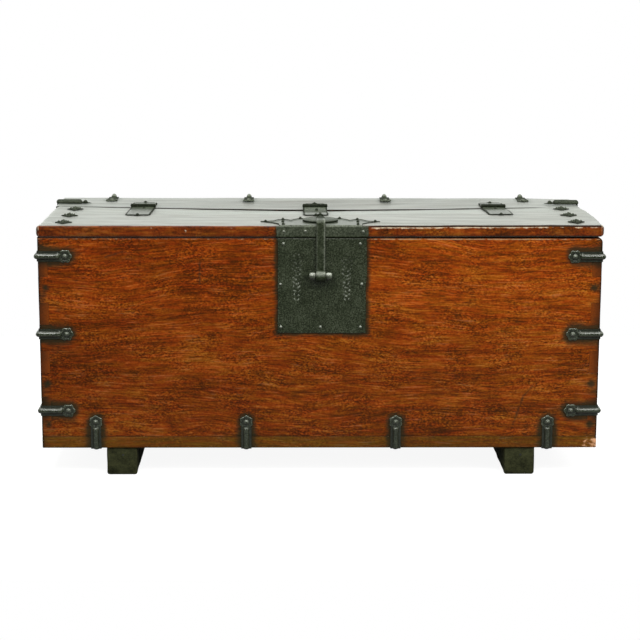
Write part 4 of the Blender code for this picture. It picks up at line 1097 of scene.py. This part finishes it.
def lock_staple(name, iron):
    """A lock staple: a plump ring about the padlock's way, on a shank that goes back into the front board.

    The ring's outside bulges as a half ellipse across its width, so from the front it looks like a ball.
    """
    low, high = box_of(name)
    eye, radius = lock_eye()
    x, half = (low[0] + high[0]) / 2, (high[0] - low[0]) / 2
    turn = np.linspace(0, np.pi, 15)
    rim = LOCK_BORE + 0.8 * MM
    outline = np.stack([rim + (radius - rim) * np.sin(turn), half * np.cos(turn)], -1)
    outline = np.concatenate([outline, [(LOCK_BORE, -0.85 * half), (LOCK_BORE, 0.85 * half)]])
    # Painted highlight on the ring's upper front, painted shade below
    ring = hoop(outline, lit_from_above(30)).placed((x, *eye[1:]))
    root = (STAPLE_SHANK - 0.4 * MM, eye[1] + 5 * MM)
    profile = [root, (STAPLE_SHANK, eye[1] + 6 * MM), (STAPLE_SHANK, high[1])]
    shank = turned(profile, 20, 0.1).placed((x, 0, eye[2]), TO_BACK)
    finish(name, joined([ring, shank]), [iron])


def lid_nail(name, iron):
    """A decorative nail: a plate with four points, a ring of eight knobs, a dome in the middle and a shank.

    Its height is the plate's, plus knobs that follow the cosine of eight times the angle, plus a half
    ellipse.
    """
    low, high = box_of(name)
    half, (x, y, _) = (high - low) / 2, (low + high) / 2
    angle = around(80)
    eight = np.cos(8 * angle)
    plate_rings = [1, 1, 0.97, 0.9, 0.8, 0.7, 0.62, 0.55, 0.48, 0.42, 0.36]
    share = np.array([*plate_rings, 0.3, 0.26, 0.2, 0.13, 0.04])[:, None]
    outline = 0.65 + 0.30 * np.abs(np.cos(2 * angle)) ** 2.5 + 0.05 * eight
    knobs = 3.1 * bell(share - 0.55, 0.13) * (0.5 + 0.5 * eight)
    height = (np.where(share > 0.98, 0.9, 1.3) + knobs + 4.6 * bulge(share / 0.3)) * MM
    height[0] = 0
    reach = 1.05 * share * np.where(share > 0.45, outline, 0.8)
    rows = np.stack([reach * half[0] * np.cos(angle), reach * half[1] * np.sin(angle), height], axis=-1)
    plate = rings(rows, np.clip((height / MM - 5.2) * 0.2, -0.85, -0.25))
    shank = turned([(LID_NAIL_SHANK, 0.5 * MM), (LID_NAIL_SHANK, low[2] - TOP - SEAT)], 12)
    finish(name, joined([plate, shank]).placed((x, y, TOP + SEAT + lid_spring(x, y))), [iron], "lid")


class Nodes:
    """A node tree with short ways to add and join its nodes. Inputs are sockets or numbers."""

    def __init__(self, tree):
        self.tree = tree

    def node(self, kind, values=(), **settings):
        """A node with its settings and inputs. Returns its outputs."""
        node = self.tree.nodes.new("ShaderNode" + kind)
        for key, value in settings.items():
            setattr(node, key, value)
        for key, value in dict(values).items():
            self.join(node.inputs[key], value)
        return node.outputs

    def join(self, socket, value):
        if isinstance(value, bpy.types.NodeSocket):
            self.tree.links.new(value, socket)
        else:
            socket.default_value = value

    def maths(self, operation, a, b=0.0, c=0.0):
        return self.node("Math", {0: a, 1: b, 2: c}, operation=operation)[0]

    def times(self, a, b):
        return self.maths("MULTIPLY", a, b)

    def scaled(self, a, by, plus):
        """A value times another, plus a third."""
        return self.maths("MULTIPLY_ADD", a, by, plus)

    def most(self, a, b):
        return self.maths("MAXIMUM", a, b)

    def vector(self, operation, a, b):
        return self.node("VectorMath", {0: a, 1: b}, operation=operation)[0]

    def split(self, vector):
        """The three parts of a vector."""
        return self.node("SeparateXYZ", {0: vector})

    def noise(self, vector, by, detail=2.0, roughness=0.5):
        """Noise between 0 and 1 with its own number of waves a metre along each axis."""
        place = self.vector("MULTIPLY", vector, by)
        values = {"Vector": place, "Scale": 1.0, "Detail": detail, "Roughness": roughness}
        return self.node("TexNoise", values)[0]

    def between(self, value, low, high, to_low=0.0, to_high=1.0):
        """A value taken from one range smoothly to another."""
        values = {"Value": value, "From Min": low, "From Max": high, "To Min": to_low, "To Max": to_high}
        return self.node("MapRange", values, interpolation_type="SMOOTHSTEP")[0]

    def mix(self, factor, a, b, blend="MIX"):
        """Two colours mixed."""
        return self.node("Mix", {0: factor, 6: a, 7: b}, data_type="RGBA", blend_type=blend)[2]

    def ramp(self, value, stops):
        """Colours along a value: each stop is a place and a colour."""
        node = self.tree.nodes.new("ShaderNodeValToRGB")
        self.join(node.inputs[0], value)
        while len(node.color_ramp.elements) < len(stops):
            node.color_ramp.elements.new(0.5)
        for element, (place, colour) in zip(node.color_ramp.elements, stops):
            element.position = place
            element.color = (*colour, 1.0)
        return node.outputs[0]

    def attributes(self, *names):
        """A mesh's point attributes by name, for a group's inputs of those names."""
        return {name.title(): self.node("Attribute", attribute_name=name)[2] for name in names}

    def grain(self, place, order, shift):
        """A place with its axes in another order, the grain's first, moved by a shift."""
        parts = self.split(place)
        values = {i: parts["XYZ".index(axis)] for i, axis in enumerate(order)}
        return self.vector("ADD", self.node("CombineXYZ", values)[0], shift)


def new_group(name, inputs, outputs):
    """A shader node group with its sockets' names by kind.

    Returns the group, its nodes, its inputs and a function that sets its outputs.
    """
    tree = bpy.data.node_groups.new(name, "ShaderNodeTree")
    for way, sockets in (("INPUT", inputs), ("OUTPUT", outputs)):
        for kind, keys in sockets.items():
            for key in keys.split():
                tree.interface.new_socket(name=key, in_out=way, socket_type="NodeSocket" + kind)
    start, end = tree.nodes.new("NodeGroupInput"), tree.nodes.new("NodeGroupOutput")
    nodes = Nodes(tree)

    def give(**values):
        for key, value in values.items():
            nodes.join(end.inputs[key], value)

    return tree, nodes, start.outputs, give


def wood_group():
    """Old lacquered wood: growth streaks, slanting bright figure, and dark pores as dashes and dots.

    Noises stretched along the grain are weighed into one level, and a ramp turns it into colour. Figure is
    how much of it shows. The wood is stained by the grime input and turned pale by the rub input, which is
    real rubbing with a painted highlight on it. The gap input blackens it as a painted shade in gaps and
    along edges. All have ragged edges.
    """
    inputs = {"Vector": "Grain", "Float": "Grime Rub Gap Ends Figure", "Color": "Tint Pale"}
    outputs = {"Color": "Colour", "Float": "Roughness Height Streaks"}
    tree, n, given, give = new_group("lacquered wood", inputs, outputs)
    grain = given["Grain"]
    drift = n.scaled(n.noise(grain, (2.2, 5, 5), 3), 0.090, -0.045)
    wavy = n.vector("ADD", grain, n.node("CombineXYZ", {"Y": drift})[0])
    slanted = n.node("VectorRotate", {"Vector": wavy, "Angle": math.radians(8)}, rotation_type="Z_AXIS")[0]
    streaks = n.noise(wavy, (6, 110, 60), 4, 0.66)
    fibres = n.noise(wavy, (100, 400, 250), 2, 0.6)
    speckle = n.noise(grain, (240, 360, 260), 1)
    lines = n.noise(wavy, (20, 430, 200), 1)
    tone = n.noise(wavy, (4, 19, 8), 3, 0.55)
    patch = n.noise(grain, (22, 42, 20), 4, 0.62)
    figure = n.between(n.noise(slanted, (13, 240, 60), 2, 0.55), 0.52, 0.72)
    figured = n.between(n.noise(grain, (5, 9, 3)), 0.40, 0.62)
    dashes = n.between(n.noise(wavy, (55, 300, 200), 2, 0.55), 0.53, 0.63)
    dots = n.between(n.noise(wavy, (190, 330, 260), 1), 0.54, 0.66)
    dense = n.between(n.noise(grain, (15, 24, 10), 3, 0.6), 0.38, 0.62, 0.15, 1.0)
    sparse = n.between(n.noise(grain, (9, 17, 8), 2, 0.6), 0.35, 0.65, 0.2, 1.0)
    pore = n.most(n.times(dashes, sparse), n.times(dots, dense))
    level = n.times(n.times(figure, figured), 0.28)
    weights = [(streaks, 0.85), (tone, 0.95), (patch, 0.62), (fibres, 0.60), (lines, 0.90)]
    for layer, weight in [*weights, (speckle, n.scaled(dense, 1.2, 0.25))]:
        level = n.scaled(n.maths("SUBTRACT", layer, 0.5), weight, level)
    colour = n.ramp(n.scaled(level, given["Figure"], 0.56), WOOD_RAMP)
    hue = n.between(n.noise(wavy, (16, 120, 90), 4, 0.7), 0.36, 0.64)
    colour = n.mix(1.0, colour, n.mix(hue, GREENER, REDDER), "MULTIPLY")
    colour = n.mix(n.times(pore, n.times(given["Figure"], 0.55)), colour, PORE)
    bright_line = n.times(n.between(lines, 0.60, 0.70), n.between(patch, 0.45, 0.60))
    colour = n.mix(n.times(bright_line, 0.40), colour, BRIGHT_LINE)
    colour = n.mix(given["Ends"], colour, n.mix(fibres, END_DARK, END_LIGHT))
    colour = n.mix(1.0, colour, given["Tint"], "MULTIPLY")
    ragged = n.between(n.scaled(patch, 1.3, n.maths("SUBTRACT", given["Grime"], 0.65)), 0.05, 0.95)
    colour = n.mix(n.times(ragged, 0.90), colour, GRIME)
    worn = n.noise(grain, (130, 190, 190), 3, 0.6)
    # Painted shade in gaps and along edges, as the gap input gives it
    dark = n.times(given["Gap"], n.between(worn, 0.15, 0.5, 0.85, 1.05))
    colour = n.mix(n.maths("MINIMUM", dark, 1.0), colour, GAP_SHADE)
    # Pale where rubbed, with a painted highlight along the rubbed edges
    pale = n.between(n.scaled(n.maths("SUBTRACT", worn, 0.5), 1.2, given["Rub"]), 0.45, 0.80)
    pale = n.times(pale, n.between(given["Rub"], 0.02, 0.2))
    colour = n.mix(n.times(pale, 0.9), colour, given["Pale"])
    rough = n.scaled(given["Gap"], 0.5, n.scaled(ragged, 0.16, n.scaled(fibres, 0.10, 0.27)))
    height = n.scaled(streaks, 0.5, n.scaled(fibres, 0.45, n.times(pore, -0.8)))
    give(Colour=colour, Roughness=rough, Height=height, Streaks=streaks)
    return tree


def iron_group():
    """Forged iron: dark with a greenish cast, mottled and pitted, bright where rubbed, black in its corners.

    The wear runs from -1, dirt and painted shade, through 0 to 1, rubbed bright and painted highlight. Faces
    that look down take a painted shade, and those that slant upwards a painted highlight, by a share set for
    each iron. Sheen is the polish on clean faces that look up.
    """
    inputs = {"Vector": "Place Facing", "Float": "Wear Polish Rim"}
    outputs = {"Color": "Colour", "Float": "Roughness Height Sheen"}
    tree, n, given, give = new_group("forged iron", inputs, outputs)
    cloud = n.noise(given["Place"], (38, 38, 38), 4, 0.6)
    mottle = n.noise(given["Place"], (380, 380, 380), 2, 0.6)
    pits = n.between(n.noise(given["Place"], (420, 420, 420)), 0.58, 0.72)
    colour = n.ramp(n.scaled(mottle, 0.7, n.times(cloud, 0.3)), IRON_RAMP)
    up = n.split(given["Facing"])["Z"]
    # Painted highlight on faces that slant upwards
    slanting = n.times(n.between(up, 0.25, 0.55), n.between(up, 0.72, 0.90, 1.0, 0.0))
    rub_and_highlight_share = n.scaled(slanting, given["Rim"], n.most(given["Wear"], 0.0))
    bright = n.times(rub_and_highlight_share, n.between(mottle, 0.25, 0.6, 0.35, 1.0))
    colour = n.mix(n.times(bright, 0.8), colour, RUBBED_AND_HIGHLIT_IRON)
    # Painted shade on faces that look down, joined with the dirt where the wear is below 0
    painted_shade_below = n.between(n.times(up, -1.0), 0.12, 0.70, 0.0, 0.75)
    dirt_and_shade = n.most(n.most(n.times(given["Wear"], -1.0), 0.0), painted_shade_below)
    colour = n.mix(n.times(dirt_and_shade, 0.85), colour, DIRTY_AND_SHADED_IRON)
    colour = n.mix(n.times(pits, 0.6), colour, PITTED_IRON)
    rough = n.scaled(dirt_and_shade, 0.35, n.scaled(mottle, 0.10, 0.16))
    clean = n.times(n.scaled(dirt_and_shade, -1.0, 1.0), n.between(mottle, 0.2, 0.7, 0.6, 1.0))
    sheen = n.times(n.times(n.between(up, 0.80, 0.97), given["Polish"]), clean)
    height = n.maths("SUBTRACT", n.scaled(mottle, 0.6, cloud), n.times(pits, 0.5))
    give(Colour=colour, Roughness=rough, Height=height, Sheen=sheen)
    return tree


WOOD_GROUP = wood_group()
IRON_GROUP = iron_group()


def new_material(name, fixed):
    """A material with its shader's fixed values set. Returns it, its nodes and its shader's inputs."""
    material = bpy.data.materials.new(name)
    material.use_nodes = True
    inputs = material.node_tree.nodes["Principled BSDF"].inputs
    for key, value in fixed.items():
        inputs[key].default_value = value
    return material, Nodes(material.node_tree), inputs


def surface(n, inputs, colour, roughness, height, strength, distance):
    """Colour, roughness and a bump from a height, joined to a shader's inputs."""
    n.join(inputs["Base Color"], colour)
    n.join(inputs["Roughness"], roughness)
    bump = n.node("Bump", {"Height": height, "Strength": strength, "Distance": distance})
    n.join(inputs["Normal"], bump[0])


def lacquered(name, order, shift, tint=WHITE, right_light_tint=None, foot_shade_tint=WHITE, top_tint=None,
              pale=(0.62, 0.50, 0.34), figure=1.0):
    """Lacquered wood whose grain runs along the first axis of order. Faces that look that way show end grain.

    The tint changes to the right tint along the chest, a painted light that is brighter to the right, and is
    multiplied by the foot tint at its foot, a painted shade that is darker and less red downwards. With a top
    tint, faces that look up take it, keep their polish and carry a little dust. Pale is the colour of rubbed
    edges, which also stands for the highlight painted along them, and figure is how strongly the grain shows.
    """
    polished = {"Coat Roughness": 0.34, "Coat IOR": 1.5, "Sheen Weight": 1.0, "Sheen Roughness": 0.35,
                "Sheen Tint": (0.93, 1.0, 0.92, 1)}
    material, n, inputs = new_material(name, {"IOR": 1.22, **(polished if top_tint else {})})
    place = n.node("TexCoord")
    x, _, z = n.split(place["Object"])
    facing = n.split(place["Normal"])
    upward = n.between(facing["Z"], 0.80, 0.97)
    # Painted light brighter to the right, and painted shade towards the foot
    tints = n.mix(n.between(x, LEFT, RIGHT), (*tint, 1.0), (*(right_light_tint or tint), 1.0))
    lower = n.mix(n.between(z, WALL_FOOT + 0.08, WALL_TOP), (*foot_shade_tint, 1.0), (*WHITE, 1.0))
    tints = n.mix(1.0, tints, lower, "MULTIPLY")
    values = {
        "Grain": n.grain(place["Object"], order, shift),
        "Ends": n.between(n.maths("ABSOLUTE", facing["XYZ".index(order[0])]), 0.75, 0.95),
        "Tint": n.mix(upward, tints, (*top_tint, 1.0)) if top_tint else tints,
        "Pale": (*pale, 1.0),
        "Figure": figure,
        **n.attributes("grime", "rub", "gap"),
    }
    given = n.node("Group", node_tree=WOOD_GROUP, values=values)
    surface(n, inputs, given["Colour"], given["Roughness"], given["Height"], 0.35, 0.6 * MM)
    if top_tint:
        n.join(inputs["Coat Weight"], n.times(upward, n.between(given["Streaks"], 0.32, 0.68, 0.20, 1.30)))
    return material


def plain_wood(name, order, shift, dark, light, roughness):
    """Bare wood: streaks and fibres between two colours, dull."""
    material, n, inputs = new_material(name, {"IOR": 1.2})
    grain = n.grain(n.node("TexCoord")["Object"], order, shift)
    streaks = n.noise(grain, (5, 90, 70), 4, 0.65)
    fibres = n.noise(grain, (30, 600, 500), 3, 0.6)
    cloud = n.noise(grain, (9, 14, 9), 3, 0.6)
    level = n.scaled(fibres, 0.3, n.scaled(streaks, 0.4, n.times(cloud, 0.3)))
    colour = n.ramp(level, [(0.38, dark), (0.62, light)])
    surface(n, inputs, colour, n.scaled(fibres, 0.12, roughness), level, 0.5, 0.8 * MM)
    return material


def forged_iron(name, ior, dull, rim):
    """The fittings' iron, more or less shiny. Its clean upper faces keep a little polish."""
    material, n, inputs = new_material(name, {"IOR": ior, "Coat Roughness": 0.22, "Coat IOR": 1.6})
    place = n.node("TexCoord")
    marks = n.attributes("wear", "polish")
    # The last argument is the share of painted highlight on faces that slant upwards
    values = {"Place": place["Object"], "Facing": place["Normal"], "Rim": rim, **marks}
    given = n.node("Group", node_tree=IRON_GROUP, values=values)
    rough = n.maths("ADD", given["Roughness"], dull)
    surface(n, inputs, given["Colour"], rough, given["Height"], 0.15, 0.5 * MM)
    n.join(inputs["Coat Weight"], given["Sheen"])
    return material


def pale_floor():
    """A pale floor that keeps the chest's shadow and shows white to the camera where nothing shades it."""
    mesh = bpy.data.meshes.new("studio_floor")
    (left, front), (right, back) = FLOOR_LOW, FLOOR_HIGH
    corners = [(left, front), (right, front), (right, back), (left, back)]
    mesh.from_pydata([(x, y, -FLOOR_DROP) for x, y in corners], [], [(0, 1, 2, 3)])
    floor = bpy.data.objects.new("studio_floor", mesh)
    bpy.context.scene.collection.objects.link(floor)
    fixed = {"Base Color": FLOOR_GREY, "Roughness": 0.9, "Specular IOR Level": 0.0,
             "Emission Color": (*WHITE, 1)}
    material, n, inputs = new_material("pale floor", fixed)
    n.join(inputs["Emission Strength"], n.times(n.node("LightPath")["Is Camera Ray"], FLOOR_GLOW))
    mesh.materials.append(material)


def studio_world():
    """White to the camera. Shiny faces see a white backdrop behind the chest and a dim room before it."""
    world = bpy.data.worlds.new("studio")
    bpy.context.scene.world = world
    world.use_nodes = True
    n = Nodes(world.node_tree)
    path = n.node("LightPath")
    behind = n.between(n.split(n.node("TexCoord")["Generated"])["Y"], -0.15, 0.35, 0.10, 1.0)
    shiny = n.most(path["Is Glossy Ray"], path["Is Transmission Ray"])
    strength = n.scaled(shiny, behind, n.times(n.maths("SUBTRACT", 1.0, shiny), 0.34))
    inputs = world.node_tree.nodes["Background"].inputs
    n.join(inputs["Color"], n.mix(path["Is Camera Ray"], ROOM_WHITE, (*WHITE, 1)))
    n.join(inputs["Strength"], n.most(strength, path["Is Camera Ray"]))


def area_lamp(name, place, aim, size, power, mirrored):
    """A soft square lamp that looks at a point. Shiny faces show it only if it is mirrored."""
    light = bpy.data.lights.new(name, "AREA")
    light.shape = "RECTANGLE"
    light.size, light.size_y = size
    light.energy = power
    lamp = bpy.data.objects.new(name, light)
    lamp.location = place
    lamp.visible_glossy = mirrored
    lamp.rotation_euler = (Vector(aim) - Vector(place)).to_track_quat("-Z", "Y").to_euler()
    bpy.context.scene.collection.objects.link(lamp)


def studio_camera():
    """The camera that fits the photograph's edges: a long lens, a little above the chest, nearly square."""
    sin, cos = math.sin, math.cos
    pitch, yaw, roll = CAMERA_PITCH_YAW_ROLL
    ahead = Vector((sin(yaw) * cos(pitch), cos(yaw) * cos(pitch), -sin(pitch)))
    right = Vector((cos(yaw), -sin(yaw), 0))
    up = right.cross(ahead)
    side = right * cos(roll) + up * sin(roll)
    above = -right * sin(roll) + up * cos(roll)
    lens = bpy.data.cameras.new("studio_camera")
    lens.lens, lens.sensor_width = CAMERA_LENS, 36.0
    camera = bpy.data.objects.new("studio_camera", lens)
    turn = Matrix((side, above, -ahead)).transposed().to_4x4()
    camera.matrix_world = Matrix.Translation(Vector(CAMERA_PLACE) + Vector((0, FRONT, UNDER))) @ turn
    bpy.context.scene.collection.objects.link(camera)
    bpy.context.scene.camera = camera


def dress(node, material):
    """A better material on a CAD node whose shape is kept."""
    materials = frame["nodes"][node].data.materials
    materials.clear()
    materials.append(material)


def build():
    """Every material, and every piece of the chest with its material and the seed of its own draws."""
    # Each iron's last number is its share of painted highlight on upward slopes
    iron = forged_iron("forged iron", 1.65, 0.0, 0.55)
    dull_iron = forged_iron("dull forged iron", 1.25, 0.3, 0.15)
    # The front's tints paint light brighter to the right and shade darker towards the foot
    front_wood = lacquered("front board wood", "XZY", (0.31, 0.12, 0.0), (1.00, 0.94, 0.78),
                           (1.17, 1.16, 0.97), (0.78, 0.87, 1.15), pale=(0.36, 0.23, 0.12))
    back_wood = lacquered("back board wood", "XZY", (3.7, 1.9, 0.4))
    side_wood = lacquered("side board wood", "YZX", (6.2, 0.7, 0.2))
    # The lid front's tints paint light brighter to the right
    lid_wood = lacquered("lid wood", "XYZ", (9.4, 2.3, 1.1), (0.55, 0.53, 0.33), (0.69, 0.67, 0.42),
                         top_tint=(0.16, 0.36, 0.8))
    rear_wood = lacquered("rear top board wood", "XYZ", (12.8, 4.1, 0.6), top_tint=(0.12, 0.27, 0.6))
    bottom_wood = lacquered("bottom board wood", "XZY", (15.3, 3.3, 2.9), (0.64, 1.20, 1.75),
                            pale=(0.80, 0.42, 0.22), figure=0.5)
    inner_wood = plain_wood("bare inner wood", "XZY", (2.1, 0.4, 0.0), *BARE_WOOD)
    batten_wood = plain_wood("bare batten wood", "YXZ", (4.1, 0.9, 0.3), *BARE_WOOD)
    foot_wood = plain_wood("dark foot wood", "YZX", (1.3, 2.2, 0.5), *FOOT_WOOD)

    long_wall("front_board", FRONT, -1, 11, [front_wood, inner_wood], FRONT_STEP)
    long_wall("back_board", BACK, 1, 21, [back_wood, inner_wood], BOARD_STEP)
    side_wall("left_side_board", -1, 41, [side_wood, inner_wood])
    side_wall("right_side_board", 1, 51, [side_wood, inner_wood])
    bottom_plank([bottom_wood])
    top_board("lid_board", lid_low, lid_high, LID_ROUNDS, LID_END_ROUND, "lid", 81, [lid_wood])
    top_board("top_rear_board", rear_low, rear_high, REAR_ROUNDS, ARRIS, "case", 91, [rear_wood])
    for side, seed in (("left", 101), ("right", 105)):
        foot(f"{side}_foot", seed, [foot_wood], iron)
        lock_staple(f"{side}_lock_staple", iron)
        for row in ("front", "middle", "rear"):
            lid_nail(f"lid_nail_{side}_{row}", dull_iron)
        dress(f"{side}_lid_batten", batten_wood)
    add_straps(iron, dull_iron)
    for name in ("left", "middle", "right"):
        hinge_leaf(f"{name}_hinge_front_leaf", dull_iron)
        hinge_leaf(f"{name}_hinge_rear_leaf", dull_iron)
        dress(f"{name}_hinge_pin", iron)
    lock_plate(iron)
    for fitting in (lid_plate, boss, pivot_staple, hasp):
        fitting(dull_iron)


build()
pale_floor()
studio_world()
for lamp_name, values in LAMPS.items():
    area_lamp(lamp_name, *values)
studio_camera()
bpy.context.scene.view_settings.view_transform = "Standard"
